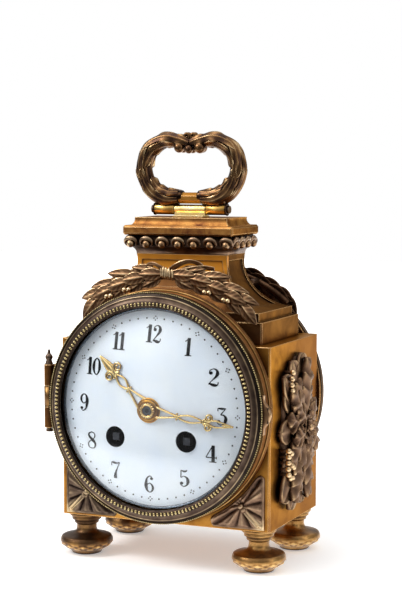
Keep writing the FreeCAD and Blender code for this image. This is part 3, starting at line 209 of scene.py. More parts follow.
gilt_bronze = cast_metal("gilt bronze, lacquered", ("#80542A", "#AC7632", "#C08A42"), "#3A2312", "#F0C48C",
                         0.34, 0.6, darker_low_back="#744830")
bright_gilt = cast_metal("gilt bronze, burnished", ("#C89A4C", "#E2B866", "#F2D48A"), "#4A2E14", "#F8E4B0",
                         0.32, 0.25, patch=6.0, corner_reach=1.0)
smoked_bronze = cast_metal("bronze, smoked brown", ("#4A3C34", "#625246", "#75655A"), "#1E1714", "#A08E78",
                           0.42, 0.3, patch=9.0, corner_reach=1.5)
red_bronze = cast_metal("gilt bronze, gilding worn to the red", ("#5E3222", "#A06C38", "#C08C4C"), "#2A170C",
                        "#EEC890", 0.38, 0.5, patch=6.0, darker_low_back="#4E2C1E", side=slab_side)
# The brown gilt carries the painted reflection on the neck's front.
brown_gilt = cast_metal("gilt bronze, brown lacquer", ("#4E3424", "#704A2A", "#8C6032"), "#2E1C10", "#F0C48C",
                        0.42, 0.6, corner_reach=1.2, neck_reflection="#FFAA3A")
polished_brass = cast_metal("brass, polished", ("#F2D282", "#FBE29C", "#FFF0C0"), "#5A3E1C", "#FFF2CC",
                            0.30, 0.25, patch=6.0, corner_reach=0.6)
blackened = cast_metal("bronze, blackened", ("#241E1B", "#332B26", "#3E352F"), "#0E0B0A", "#6E6154",
                       0.36, 0.3, patch=9.0, corner_reach=1.5)
print("seven cast finishes")

# %% [markdown]
# ## Patinated ornaments
# Leaves, flowers and scrolls were never burnished: they keep a brown chemical patina, and only their
# ribs and rims are rubbed to gold. The mesh code below stores that as a wear value on each point, from
# 0 in the hollows to 1 on the ridges, and this finish reads it along a ramp of colours. Deep hollows
# are also darkened by an ambient occlusion node, down to a share of their wear: that is painted shade.

# %% Patinated bronze finish
def patinated(name, stops, roughness, hollows=0.42):
    finish, tree = new_finish(name)
    place = add(tree, "ShaderNodeTexCoord").outputs["Object"]
    wear = add(tree, "ShaderNodeAttribute", attribute_name="wear")
    cloud = add(tree, "ShaderNodeTexNoise", {"Vector": place, "Scale": 1 / (5.0 * MM), "Detail": 5.0})
    lift = add(tree, "ShaderNodeMapRange", {"Value": cloud.outputs["Fac"], 1: 0.25, 2: 0.75, 3: -0.16,
                                            4: 0.16})
    worn = add(tree, "ShaderNodeMath", {0: wear.outputs["Fac"], 1: lift.outputs[0]}, operation="ADD")
    # Ambient occlusion darkens deep hollows further: painted shade on top of the patina.
    hollow = add(tree, "ShaderNodeAmbientOcclusion", {"Distance": 1.6 * MM}, samples=8)
    open_air = add(tree, "ShaderNodeMapRange", {"Value": hollow.outputs["AO"], 1: 0.25, 2: 0.8, 3: hollows})
    shown = add(tree, "ShaderNodeMath", {0: worn.outputs[0], 1: open_air.outputs[0]}, operation="MULTIPLY")
    tone = add(tree, "ShaderNodeValToRGB", {"Fac": shown.outputs[0]})
    ramp_stops(tone, stops)
    grain = add(tree, "ShaderNodeTexNoise", {"Vector": place, "Scale": 1 / (0.5 * MM), "Detail": 3.0})
    bump = add(tree, "ShaderNodeBump", {"Height": grain.outputs["Fac"], "Strength": 0.16,
                                        "Distance": 0.05 * MM})
    shine = add(tree, "ShaderNodeMapRange", {"Value": shown.outputs[0], 3: roughness + 0.14,
                                             4: roughness - 0.12})
    shader = add(tree, "ShaderNodeBsdfPrincipled", {"Base Color": tone.outputs["Color"], "Metallic": 1.0,
                                                    "Roughness": shine.outputs[0], "Normal": bump.outputs[0]})
    add(tree, "ShaderNodeOutputMaterial", {"Surface": shader.outputs[0]})
    return finish


def brown_steps(*codes):
    """Four colours from the hollows to the rubbed ridges."""
    return list(zip((0.0, 0.35, 0.62, 1.0), codes))


patina = patinated("bronze, brown patina", brown_steps("#1C120C", "#6A4E3A", "#A07C5A", "#F0D2A4"), 0.40)
# The side mounts get a lighter painted shade in their hollows.
mount_patina = patinated("bronze, soft brown patina", brown_steps("#36271E", "#6A5140", "#8A6C52", "#C8A87E"),
                         0.52, hollows=0.66)
handle_patina = patinated("bronze, patina polished by hands",
                          brown_steps("#0E0907", "#4A352A", "#86633F", "#F2D2A0"), 0.32)
# Dark patina on the bezel; on the left palmette its darkness is painted shade.
dark_patina_and_shade = patinated("bronze, dark patina and painted shade", brown_steps("#120D0B", "#453730", "#6E5C4C", "#CDB48C"), 0.40)
grey_patina = patinated("bronze, grey brown patina",
                        brown_steps("#1A120D", "#664E40", "#967A62", "#D8BE96"), 0.40)
orange_patina = patinated("gilt bronze, worn gilding",
                          brown_steps("#1B110A", "#5C432E", "#A67C48", "#E4BE7E"), 0.36)
hand_gilt = patinated("gilt brass, chased", [(0.0, "#2C1A08"), (0.45, "#8C5C1C"), (0.75, "#DEA440"),
                                             (1.0, "#FFE4A4")], 0.30)
pearl_gilt = patinated("gilt bronze, pearls", [(0.0, "#1E160F"), (0.5, "#6E5C3E"), (1.0, "#CEBA86")], 0.26)
print("eight finishes that read the wear of each point")

# %% [markdown]
# ## Enamel, paint and glass
# The dial is vitreous enamel on copper: white with a cold blue cast, glossy, and not quite flat. The
# numerals are black enamel fired on top, duller than the white. The glass is clear and thin, with a
# faint haze where it was wiped.

# %% Enamel, paint and glass finishes
def enamelled(name, low, high, roughness, ripple, gleam=0.5):
    finish, tree = new_finish(name)
    place = add(tree, "ShaderNodeTexCoord").outputs["Object"]
    cloud = add(tree, "ShaderNodeTexNoise", {"Vector": place, "Scale": 1 / (12.0 * MM), "Detail": 3.0})
    tone = add(tree, "ShaderNodeValToRGB", {"Fac": cloud.outputs["Fac"]})
    ramp_stops(tone, [(0.3, low), (0.7, high)])
    wave = add(tree, "ShaderNodeTexNoise", {"Vector": place, "Scale": 1 / (7.0 * MM), "Detail": 1.0})
    bump = add(tree, "ShaderNodeBump", {"Height": wave.outputs["Fac"], "Strength": ripple,
                                        "Distance": 0.1 * MM})
    gloss = add(tree, "ShaderNodeMapRange", {"Value": cloud.outputs["Fac"], 3: roughness - 0.03,
                                             4: roughness + 0.05})
    shader = add(tree, "ShaderNodeBsdfPrincipled", {
        "Base Color": tone.outputs["Color"], "IOR": 1.52, "Specular IOR Level": gleam,
        "Roughness": gloss.outputs[0], "Normal": bump.outputs[0]})
    add(tree, "ShaderNodeOutputMaterial", {"Surface": shader.outputs[0]})
    return finish


def clear_glass(name):
    finish, tree = new_finish(name)
    place = add(tree, "ShaderNodeTexCoord").outputs["Object"]
    smear = add(tree, "ShaderNodeTexNoise", {"Vector": place, "Scale": 1 / (14.0 * MM), "Detail": 3.0})
    haze = add(tree, "ShaderNodeMapRange", {"Value": smear.outputs["Fac"], 4: 0.04})
    shader = add(tree, "ShaderNodeBsdfPrincipled", {"Base Color": linear("#FBFDFE"), "IOR": 1.45,
                                                    "Transmission Weight": 1.0,
                                                    "Roughness": haze.outputs[0]})
    add(tree, "ShaderNodeOutputMaterial", {"Surface": shader.outputs[0]})
    return finish


enamel = enamelled("vitreous enamel, white", "#EBF4FF", "#F4FAFF", 0.14, 0.08)
black_enamel = enamelled("vitreous enamel, black", "#050508", "#0E0F13", 0.40, 0.05, gleam=0.12)
crystal = clear_glass("clock glass")
print("enamel, paint and glass")

# %% [markdown]
# ## Movement metals
# Plates and wheels are lacquered brass with a straight grain, screws, springs and levers are hardened
# steel, and the bell is a paler, tin rich bronze. Each takes a noise for its grain, stretched along one
# axis. The blue grey steel of the ring round the dial has no such direction. The grain is drawn at
# 0.8 mm, coarser than a real one, so that it shows.

# %% Movement finishes
def grained(name, dark, light, roughness, stretch):
    finish, tree = new_finish(name)
    place = add(tree, "ShaderNodeTexCoord").outputs["Object"]
    laid = add(tree, "ShaderNodeMapping", {"Vector": place, "Scale": stretch})
    lines = add(tree, "ShaderNodeTexNoise", {"Vector": laid.outputs[0], "Scale": 1 / (0.8 * MM),
                                             "Detail": 4.0})
    cloud = add(tree, "ShaderNodeTexNoise", {"Vector": place, "Scale": 1 / (9.0 * MM), "Detail": 4.0})
    mixed = add(tree, "ShaderNodeMath", {0: lines.outputs["Fac"], 1: cloud.outputs["Fac"]}, operation="ADD")
    halved = add(tree, "ShaderNodeMath", {0: mixed.outputs[0], 1: 0.5}, operation="MULTIPLY")
    tone = add(tree, "ShaderNodeValToRGB", {"Fac": halved.outputs[0]})
    ramp_stops(tone, [(0.35, dark), (0.65, light)])
    bump = add(tree, "ShaderNodeBump", {"Height": lines.outputs["Fac"], "Strength": 0.12,
                                        "Distance": 0.03 * MM})
    shine = add(tree, "ShaderNodeMapRange", {"Value": cloud.outputs["Fac"], 3: roughness - 0.08,
                                             4: roughness + 0.10})
    shader = add(tree, "ShaderNodeBsdfPrincipled", {"Base Color": tone.outputs["Color"], "Metallic": 1.0,
                                                    "Roughness": shine.outputs[0], "Normal": bump.outputs[0]})
    add(tree, "ShaderNodeOutputMaterial", {"Surface": shader.outputs[0]})
    return finish


brass = grained("brass, straight grained", "#B08C45", "#D9BC78", 0.30, (1.0, 1.0, 0.08))
steel = grained("steel, hardened", "#6E7074", "#A2A4A8", 0.30, (1.0, 0.12, 1.0))
surround_steel = grained("steel, blue grey", "#5A636E", "#77818C", 0.24, (1.0, 1.0, 1.0))
bell_metal = grained("bell metal", "#A98F5C", "#CDB684", 0.24, (1.0, 0.1, 1.0))
print("four grained metals")

# %% [markdown]
# ## Arbors that reach through the dial
# A winding arbor is one piece of steel. Behind the dial it is painted black, a painted shade for the
# depth of its hole, and where the key fits it is steel grey. The centre wheel is brass, and the tip of
# its arbor is dark steel. So these finishes change along the depth of the clock, at the dial.

# %% Finishes that change at the dial
behind_dial, before_dial = -39.0, -40.5


def tipped(name, behind, tip):
    finish, tree = new_finish(name)
    place = add(tree, "ShaderNodeTexCoord").outputs["Object"]
    depth = add(tree, "ShaderNodeSeparateXYZ", {0: place})
    before = add(tree, "ShaderNodeMapRange", {"Value": depth.outputs["Y"], 1: behind_dial * MM,
                                              2: before_dial * MM})
    tone = add(tree, "ShaderNodeMix", {0: before.outputs[0], 6: linear(behind), 7: linear(tip)},
               data_type="RGBA")
    scratch = add(tree, "ShaderNodeTexNoise", {"Vector": place, "Scale": 1 / (0.6 * MM), "Detail": 3.0})
    shine = add(tree, "ShaderNodeMapRange", {"Value": scratch.outputs["Fac"], 3: 0.30, 4: 0.45})
    shader = add(tree, "ShaderNodeBsdfPrincipled", {"Base Color": tone.outputs[2], "Metallic": 1.0,
                                                    "Roughness": shine.outputs[0]})
    add(tree, "ShaderNodeOutputMaterial", {"Surface": shader.outputs[0]})
    return finish


# Black behind the dial is painted shade inside the winding holes.
shaded_winding_steel = tipped("steel, painted shade behind the dial", "#050507", "#505156")
tipped_brass = tipped("brass on a steel arbor", "#C4A45E", "#242428")
print("two finishes for arbors")

# %% [markdown]
# ## Finishes on the solids that stay
# A solid whose shape is already right keeps its mesh and only gets a finish. The list goes from
# the broad gilt faces to the dark bezel and the movement behind it, and what it doesn't name is brass.
# The glass casts no shadow, so that the lamps reach the dial through it as they do in life.

# %% Dress the solids
finishes = {
    brown_gilt: ["case_shoulder", "front_drum_ring", "rear_drum_ring"],
    gilt_bronze: ["case_body", "base_plate"],
    red_bronze: ["top_slab"],
    smoked_bronze: ["rear_door", "bezel_hinge_pin", "rear_hinge_pin", "handle_pin"],
    blackened: ["bezel_ring", "glass_retainer"],
    shaded_winding_steel: ["going_arbor", "strike_arbor", "hand_nut", "cannon_pinion"],
    polished_brass: ["handle_bracket"],
    tipped_brass: ["centre_wheel"],
    enamel: ["dial"],
    crystal: ["bezel_glass"],
    bell_metal: ["bell"],
    steel: ["foot_screws", "tie_screws", "clicks", "going_mainspring",
            "strike_mainspring", "lever", "hammer", "fly", "bell_stand"],
}
dressed = {node: finish for finish, nodes in finishes.items() for node in nodes}
for name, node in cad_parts.items():
    node.data.materials.clear()
    node.data.materials.append(dressed.get(name, brass))
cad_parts["bezel_glass"].visible_shadow = False
print(len(dressed), "solids by name, the rest in brass")

# %% [markdown]
# ## Tools for cast ornaments
# A cast ornament is many small curved surfaces joined into one piece: leaves, berries, ribbons. Each
# is worked out on a grid of points, which makes veins and ribs simple sums of waves, and is closed
# underneath so that it has a real thickness. A casting collects them, with the wear of each point.

# %% Grids and castings
def grid_faces(rows, cols, around_rows=False, around_cols=False):
    """Quads of a grid whose faces look up when rows run along x and columns along y."""
    faces = []
    for r in range(rows if around_rows else rows - 1):
        for c in range(cols if around_cols else cols - 1):
            s, d = (r + 1) % rows, (c + 1) % cols
            faces.append((r * cols + c, s * cols + c, s * cols + d, r * cols + d))
    return faces


def turned_over(faces):
    return [face[::-1] for face in faces]


def mirrored_faces(faces, side):
    """Faces of a shape that is mirrored when side is -1."""
    return faces if side > 0 else turned_over(faces)


def closed_sheet(top, bottom, rows, cols):
    """A thin body between two grids of points, with its four rims stitched."""
    size = rows * cols
    faces = grid_faces(rows, cols) + [tuple(size + i for i in f[::-1]) for f in grid_faces(rows, cols)]
    rim = [r * cols for r in range(rows)] + [(rows - 1) * cols + c for c in range(1, cols)]
    rim += [r * cols + cols - 1 for r in range(rows - 2, -1, -1)] + list(range(cols - 2, 0, -1))
    faces += [(i + size, j + size, j, i) for i, j in zip(rim, rim[1:] + rim[:1])]
    return np.vstack([top.reshape(-1, 3), bottom.reshape(-1, 3)]), faces


class Casting:
    """Collects the surfaces of one cast piece."""

    def __init__(self):
        self.points, self.faces, self.wear, self.count = [], [], [], 0

    def add(self, points, faces, wear):
        points = np.asarray(points, float).reshape(-1, 3)
        self.points.append(points)
        self.faces += [tuple(i + self.count for i in f) for f in faces]
        self.wear.append(np.clip(np.broadcast_to(np.ravel(wear), (len(points),)), 0.0, 1.2))
        self.count += len(points)

    def pour(self, name, finish, body, slot, mirror=(1, 1, 1)):
        """Make the piece. mirror is -1 on the axes to flip, for the twin on the other side."""
        mesh = bpy.data.meshes.new(name)
        points = np.vstack(self.points) * np.array(mirror)
        mesh.from_pydata((points * MM).tolist(), [], mirrored_faces(self.faces, np.prod(mirror)))
        mesh.materials.append(finish)
        mesh.polygons.foreach_set("use_smooth", [True] * len(mesh.polygons))
        mesh.attributes.new("wear", "FLOAT", "POINT").data.foreach_set("value", np.concatenate(self.wear))
        piece = bpy.data.objects.new(name, mesh)
        bpy.context.scene.collection.objects.link(piece)
        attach(piece, body)
        print(name, len(mesh.polygons), "faces")
        return piece


print("a grid of 3 by 4 points has", len(grid_faces(3, 4)), "faces")

# %% [markdown]
# ## Lines, berries and bars
# Ornaments follow curves. A smooth line through a few chosen points replaces long lists of
# coordinates, and two more tools turn a point into a berry and a line into a round bar. A turned piece
# is a profile of distances and radii round an axis, as on a lathe.

# %% Lines, berries, bars and turned pieces
def unit(vector):
    vector = np.asarray(vector, float)
    return vector / np.linalg.norm(vector)


def placed(points, origin, along, face):
    """Turn a shape drawn along x and facing z so that it runs along one line and faces another."""
    x = unit(along)
    z = unit(np.asarray(face, float) - x * np.dot(face, x))
    return np.asarray(origin, float) + np.asarray(points) @ np.array([x, np.cross(z, x), z])


def smooth_line(points, count):
    """Points on a smooth curve through the given ones, in any number of dimensions."""
    p = np.asarray(points, float)
    p = np.vstack([2 * p[0] - p[1], p, 2 * p[-1] - p[-2]])
    spans = len(p) - 3
    t = np.linspace(0, spans, count)
    i = np.minimum(t.astype(int), spans - 1)
    f = (t - i)[:, None]
    a, b, c, d = p[i], p[i + 1], p[i + 2], p[i + 3]
    return b + 0.5 * f * (c - a + f * (2 * a - 5 * b + 4 * c - d + f * (3 * (b - c) + d - a)))


def ball(centre, radius, rings=8, segments=12, squash=(1, 1, 1)):
    """A berry or bead."""
    a = np.pi * (np.arange(1, rings) / rings)[:, None]
    b = 2 * np.pi * np.arange(segments)[None, :] / segments
    body = np.stack([np.sin(a) * np.cos(b), np.sin(a) * np.sin(b), np.cos(a) + 0 * b], -1).reshape(-1, 3)
    points = np.vstack([body, [[0, 0, 1], [0, 0, -1]]]) * radius * np.array(squash)
    points = points + np.asarray(centre, float)
    faces = grid_faces(rings - 1, segments, around_cols=True)
    top, low, last = len(points) - 2, len(points) - 1, (rings - 2) * segments
    for s in range(segments):
        n = (s + 1) % segments
        faces.append((top, s, n))
        faces.append((low, last + n, last + s))
    return points, faces


def tube(line, radius, sides=10):
    """A round bar along a line of points, closed at both ends. radius may change along it."""
    line = np.asarray(line, float)
    radius = np.broadcast_to(radius, (len(line),))
    ahead = np.gradient(line, axis=0)
    ahead /= np.linalg.norm(ahead, axis=1)[:, None]
    aside = np.cross(ahead, [0.0, 1.0, 0.02])
    aside /= np.linalg.norm(aside, axis=1)[:, None]
    over = np.cross(ahead, aside)
    a = 2 * np.pi * np.arange(sides) / sides
    ring = np.cos(a)[None, :, None] * aside[:, None, :] + np.sin(a)[None, :, None] * over[:, None, :]
    points = (line[:, None, :] + radius[:, None, None] * ring).reshape(-1, 3)
    faces = grid_faces(len(line), sides, around_cols=True)
    faces += [tuple(range(sides)), tuple(range(len(points) - 1, len(points) - sides - 1, -1))]
    return points, turned_over(faces)


def turned_along(profile, start, axis, across, segments=24):
    """A turned piece from (distance along the axis, radius) pairs. Its two end faces come last."""
    axis, across = unit(axis), unit(across)
    third = np.cross(axis, across)
    a = 2 * np.pi * np.arange(segments) / segments
    ring = np.cos(a)[:, None] * across + np.sin(a)[:, None] * third
    points = np.vstack([np.asarray(start, float) + d * axis + r * ring for d, r in profile])
    faces = grid_faces(len(profile), segments, around_cols=True)
    faces += [tuple(range(segments)), tuple(range(len(points) - 1, len(points) - segments - 1, -1))]
    return points, turned_over(faces)


print("a berry has", len(ball((0, 0, 0), 1.0)[1]), "faces")

# %% [markdown]
# ## Four kinds of leaf
# Laurel leaves are simple pointed blades with a raised midrib and slanting veins. Acanthus leaves have
# lobed sides, and each lobe is a small ridge of its own. A petal is a cupped round blade, and a lobe is
# a broad rounded one with a rolled rim. All are grids where u runs from stalk to tip and v from one rim
# to the other, so one function makes them from an outline, a relief and a wear.

# %% Leaves
def leaf(length, width, kind, thickness=0.9, curl=0.0, lobes=4, notch=0.40):
    rows, cols = (9 * lobes + 1, 13) if kind == "acanthus" else (25, 13)
    u = np.linspace(0, 1, rows)[:, None] * np.ones((1, cols))
    v = np.linspace(-1, 1, cols)[None, :] * np.ones((rows, 1))
    rib = np.exp(-(v / 0.14) ** 2)
    slide = 0.0
    if kind == "laurel":
        half = 0.02 + 0.98 * np.sin(np.pi * u ** 0.82) ** 0.85
        veins = np.cos(2 * np.pi * 5 * (u - 0.25 * np.abs(v))) * np.abs(v) * (1 - 0.7 * np.abs(v))
        rise = 0.62 * (1 - np.abs(v)) * np.sin(np.pi * (0.1 + 0.82 * u)) ** 0.6
        rise += 0.45 * rib * (1 - 0.5 * u) + 0.30 * np.abs(v) ** 4 + 0.28 * veins
        wear = 0.40 + 0.45 * rib + 0.38 * np.abs(v) ** 5 + 0.30 * veins
    elif kind == "petal":
        half = np.sqrt(np.clip(1 - ((u - 0.56) / 0.46) ** 2, 0.02, 1)) * (0.35 + 0.65 * u ** 0.5)
        rise = 1.5 * v ** 2 * u + 0.35 * rib * (1 - u) + 0.12 * np.cos(9 * v) * u
        wear = 0.34 + 0.35 * u ** 3 + 0.2 * np.abs(v) ** 4 + 0.12 * np.cos(9 * v)
    elif kind == "lobe":
        half = np.sqrt(np.clip(1 - ((u - 0.52) / 0.485) ** 2, 0.01, 1)) * (0.55 + 0.45 * u ** 0.5)
        rise = 0.50 * (1 - v ** 2) * np.sin(np.pi * (0.15 + 0.75 * u))
        rise += 0.30 * np.abs(v) ** 6 + 0.16 * np.cos(7 * v) * u
        wear = 0.44 + 0.30 * np.abs(v) ** 6 + 0.22 * u ** 6 + 0.12 * np.cos(7 * v)
    else:
        wave = 0.5 - 0.5 * np.cos(2 * np.pi * lobes * u)
        bitten = 1 - notch + notch * wave ** 0.6
        half = 0.02 + 0.98 * np.sin(np.pi * (0.06 + 0.94 * u) ** 0.75) ** 0.7 * bitten
        ridge = np.cos(2 * np.pi * lobes * u + np.pi) * np.abs(v) ** 0.8
        rise = 0.95 * (1 - np.abs(v) ** 2.2) * np.sin(np.pi * (0.12 + 0.8 * u)) ** 0.5
        rise += 0.34 * rib * (1 - 0.5 * u) + 0.42 * ridge
        wear = 0.40 + 0.30 * rib + 0.26 * ridge + 0.22 * np.abs(v) ** 5
        slide = 0.55 * length / lobes * np.abs(v) * wave
    x = length * u + slide
    y = 0.5 * width * half * v
    rise = rise * 0.16 * width + curl * length * (u - 0.25) * np.abs(u - 0.25)
    top = np.stack([x, y, rise], -1)
    bottom = np.stack([x, 0.96 * y, rise - thickness], -1)
    points, faces = closed_sheet(top, bottom, rows, cols)
    return points, faces, np.concatenate([wear.ravel(), np.full(wear.size, 0.2)])


def add_leaf(casting, origin, along, face, length, width, kind="laurel", **shape):
    points, faces, wear = leaf(length, width, kind, **shape)
    casting.add(placed(points, origin, along, face), faces, wear)


print("a laurel leaf has", len(leaf(10.0, 5.0, "laurel")[1]), "faces")

# %% [markdown]
# ## The laurel garland
# A swag of laurel hangs over the drum, tied with a ribbon at the top, on the front and again on the
# back. Broad leaves overlap in three rows: the outer row points up, the inner row towards the dial, and
# the middle row covers their stalks. Each leaf is given by its stalk and its tip, as an angle round the
# dial's axis and a radius. A bent rod carries the leaves, and three studs reach back to the roof. On the
# back the outer leaves lie closer to the rod.

# %% Garland leaves
garland_radius = 56.3
garland_y = -24.1
rod_radius = 1.5
front = np.array([0.0, -1.0, 0.0])
laurel = [  # stalk angle, stalk radius, tip angle, tip radius, lift, width
    (9, 57.8, 21, 61.0, 0.1, 5.0), (19, 57.6, 31.5, 60.8, 0.1, 5.0), (29, 57.4, 41, 60.2, 0.1, 5.0),
    (5, 58.2, 16.5, 62.4, 0.5, 5.2), (15, 58.4, 27.5, 63.9, 0.6, 5.4), (24.5, 58.2, 37, 62.8, 0.6, 5.4),
    (32, 57.6, 43.2, 62.0, 0.7, 5.8), (7.5, 55.6, 18, 54.0, 0.5, 4.6), (16, 55.6, 26, 53.4, 0.5, 4.6),
    (25.5, 55.8, 35.5, 54.2, 0.5, 4.6), (3.5, 55.8, 13.5, 52.6, 1.0, 5.2), (11.5, 55.6, 21.5, 52.4, 1.0, 5.4),
    (20.5, 55.6, 30.5, 52.9, 1.1, 5.4), (30, 55.8, 40, 53.4, 0.9, 5.0), (2.5, 57.2, 14, 58.6, 1.7, 5.8),
    (10.5, 56.9, 22.5, 58.2, 1.8, 5.8), (19, 56.7, 31, 58.4, 1.8, 6.0), (27, 56.8, 39, 58.8, 1.6, 6.0),
    (37, 57.2, 48.5, 55.6, 0.9, 6.2),
]


def swag_point(degrees, radius=garland_radius, forward=0.0):
    a = math.radians(degrees)
    return np.array([radius * math.sin(a), garland_y - forward, dial_z + radius * math.cos(a)])


def swag(reach):
    """Leaves of both halves; reach tells how far the outer tips stand off the rod."""
    leaves = Casting()
    for stalk_angle, stalk_radius, tip_angle, tip_radius, lift, width in laurel:
        if tip_radius > garland_radius:
            tip_radius = garland_radius + reach * (tip_radius - garland_radius)
        stalk = swag_point(stalk_angle, stalk_radius, lift)
        tip = swag_point(tip_angle, tip_radius, lift + 1.4)
        points, faces, wear = leaf(np.linalg.norm(tip - stalk), width, "laurel", curl=-0.16)
        points = placed(points, stalk, tip - stalk, front)
        for side in (1, -1):
            leaves.add(points * np.array([side, 1.0, 1.0]), mirrored_faces(faces, side), wear)
    leaves.add(*tube([swag_point(a) for a in np.linspace(-42, 42, 48)], rod_radius), 0.25)
    for stud_angle, depth in ((-24, 9), (0, 14), (24, 9)):
        end = swag_point(stud_angle)
        leaves.add(*tube([end, end + [0.1, 7, 0], end + [0.2, depth, 0]], rod_radius), 0.25)
    return leaves


print(2 * len(laurel), "leaves on each garland")

# %% [markdown]
# ## Ribbon and berries
# The bow is a folded band: a loop and a tail to the right, and smaller ones to the left. Each follows a
# smooth line, with a crease on both sides of its middle. Five long beads make the knot, and pairs of
# berries sit among the inner leaves.

# %% Ribbon bow, berries and the two garlands
bow = Casting()
loop = [(0, -3.2, 1.6), (5, -4.4, 5.0), (10, -4.2, 6.8), (14.5, -3.2, 6.0), (15.5, -2.4, 4.4),
        (11, -2.6, 3.6), (5, -3.0, 2.2), (0, -3.0, 0.6)]
tail = [(0, -3.4, 1.0), (6, -3.4, 2.4), (12, -2.8, 3.6), (17, -2.2, 4.2), (21.5, -1.6, 3.6)]
fold = np.array([-1.0, -0.4, 0.0, 0.4, 1.0])
crease = np.array([0.0, -0.35, 0.1, -0.35, 0.0])
fold_wear = [0.75, 0.5, 0.7, 0.5, 0.75]
garland_top = dial_z + garland_radius
for path, width, scale in ((loop, 2.6, 1.0), (tail, 2.6, 1.0), (loop, 2.4, -0.62), (tail, 2.4, -0.62)):
    line = smooth_line([(scale * x, y + garland_y + 2.0, abs(scale) ** 0.5 * z + garland_top)
                        for x, y, z in path], 30)
    across = np.cross(np.gradient(line, axis=0), [0.0, -0.75, -0.6])
    across *= 0.5 * width / np.linalg.norm(across, axis=1)[:, None]
    sheet = line[:, None, :] + fold[None, :, None] * across[:, None, :]
    top = sheet + np.stack([0 * crease, crease - 0.25, 0 * crease], -1)[None]
    bottom = sheet + np.stack([0 * crease, crease + 0.35, 0 * crease], -1)[None]
    points, faces = closed_sheet(top, bottom, len(line), len(fold))
    bow.add(points, mirrored_faces(faces, -scale), np.tile(fold_wear, 2 * len(line)))
berries = Casting()
for k in (-2, -1, 0, 1, 2):
    bead = (1.25 * k, garland_y - 2.9 + 0.28 * k ** 2, garland_top + 1.4 - 0.25 * k)
    berries.add(*ball(bead, 1.25, squash=(0.72, 1.0, 2.2)), 0.9)
for side in (1, -1):
    for angle, radius in ((20.0, 53.2), (22.2, 53.8), (30.0, 54.2), (32.0, 54.9)):
        berries.add(*ball(np.array([side, 1, 1]) * swag_point(angle, radius, 2.9), 1.15), 1.0)
for name, mirror, reach in (("garland_front", (1, 1, 1), 1.0), ("garland_rear", (-1, -1, 1), 0.35)):
    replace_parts(swag(reach).pour(name + "_leaves", patina, "case", "gilt_bronze", mirror), name)
    bow.pour(name + "_ribbon", patina, "case", "gilt_bronze", mirror)
    berries.pour(name + "_berries", patina, "case", "gilt_bronze", mirror)

# %% [markdown]
# ## The handle
# The handle is a cast ring of two limbs. Acanthus leaves wrap each limb and end in points, long ribs
# run along the lower half, two small leaf tips curl up where the limbs meet, and berries hang below
# them. The limb is a swept grid whose oval section swells with the ribs. Near the hinge its front and
# back are pressed flatter, so that the folded handle clears the cap.

# %% Limbs of the handle
handle_axis = middle("handle_pin")[2]
handle_half_width, handle_rise = 22.6, 30.9
limb_line = smooth_line([(handle_half_width * x, 0.0, handle_axis + handle_rise * z) for x, z in (
    (0.17, 0.19), (0.51, 0.178), (0.79, 0.265), (0.97, 0.46), (0.995, 0.67), (0.85, 0.88), (0.55, 1.0),
    (0.27, 0.995), (0.0, 0.955))], 121)
limb_ahead = np.gradient(limb_line, axis=0)
limb_ahead /= np.linalg.norm(limb_ahead, axis=1)[:, None]
limb_out = np.cross(limb_ahead, front)
limb_girth = [0.85, 1.0, 1.16, 1.14, 1.04, 0.92, 0.74, 0.62]


def along_limb(values, s):
    steps = np.arange(len(values))
    at = np.clip(s, 0, 1) * (len(values) - 1)
    return np.stack([np.interp(at, steps, values[:, k]) for k in range(3)], -1)


def on_limb(s, degrees, proud=0.0):
    """A point on the limb's skin: s from the scroll end to the top, degrees from outside to front."""
    s, degrees = np.broadcast_arrays(np.asarray(s, float), np.asarray(degrees, float))
    a = np.radians(degrees)
    girth = np.interp(s, [0, 0.05, 0.14, 0.4, 0.6, 0.8, 0.93, 1], limb_girth)
    ribs = 1 + 0.055 * np.cos(6 * a + 0.6) * np.interp(s, [0, 0.1, 0.5, 0.65], [0.4, 1, 1, 0])
    flat = 3.0 * girth * ribs + proud
    deep = 3.2 * girth * ribs + proud
    point = along_limb(limb_line, s) + (flat * np.cos(a))[..., None] * along_limb(limb_out, s)
    point = point + (deep * np.sin(a))[..., None] * front
    room = np.interp(point[..., 2] - handle_axis, [0, 15, 18], [3.3, 4.55, 8.0])
    over = np.clip(np.abs(point[..., 1]) - 0.7 * room, 0, None)
    point[..., 1] -= np.sign(point[..., 1]) * (over - 0.3 * room * np.tanh(over / (0.3 * room)))
    return point


handle = Casting()
limb_rows, limb_sides = 121, 40
around = np.arange(limb_sides) * 360 / limb_sides
skin = on_limb(np.linspace(0, 1, limb_rows)[:, None], around[None, :]).reshape(-1, 3)
skin_faces = grid_faces(limb_rows, limb_sides, around_cols=True) + [tuple(range(limb_sides))]
rib_wear = 0.30 + 0.22 * np.cos(6 * np.radians(around) + 0.6)
for side in (1, -1):
    handle.add(skin * np.array([side, 1, 1]), mirrored_faces(skin_faces, -side), np.tile(rib_wear, limb_rows))
print("limbs of", handle.count, "points round a hinge", handle_axis, "mm up")

# %% [markdown]
# ## Leaves round the limbs
# Each leaf is a second grid that hugs the limb's surface and stands a little proud of it, with its rims
# sunk below the skin. It runs along the limb between two shares of its length while it winds round it
# by some degrees. The same six leaves lie on the front and on the back of both limbs.

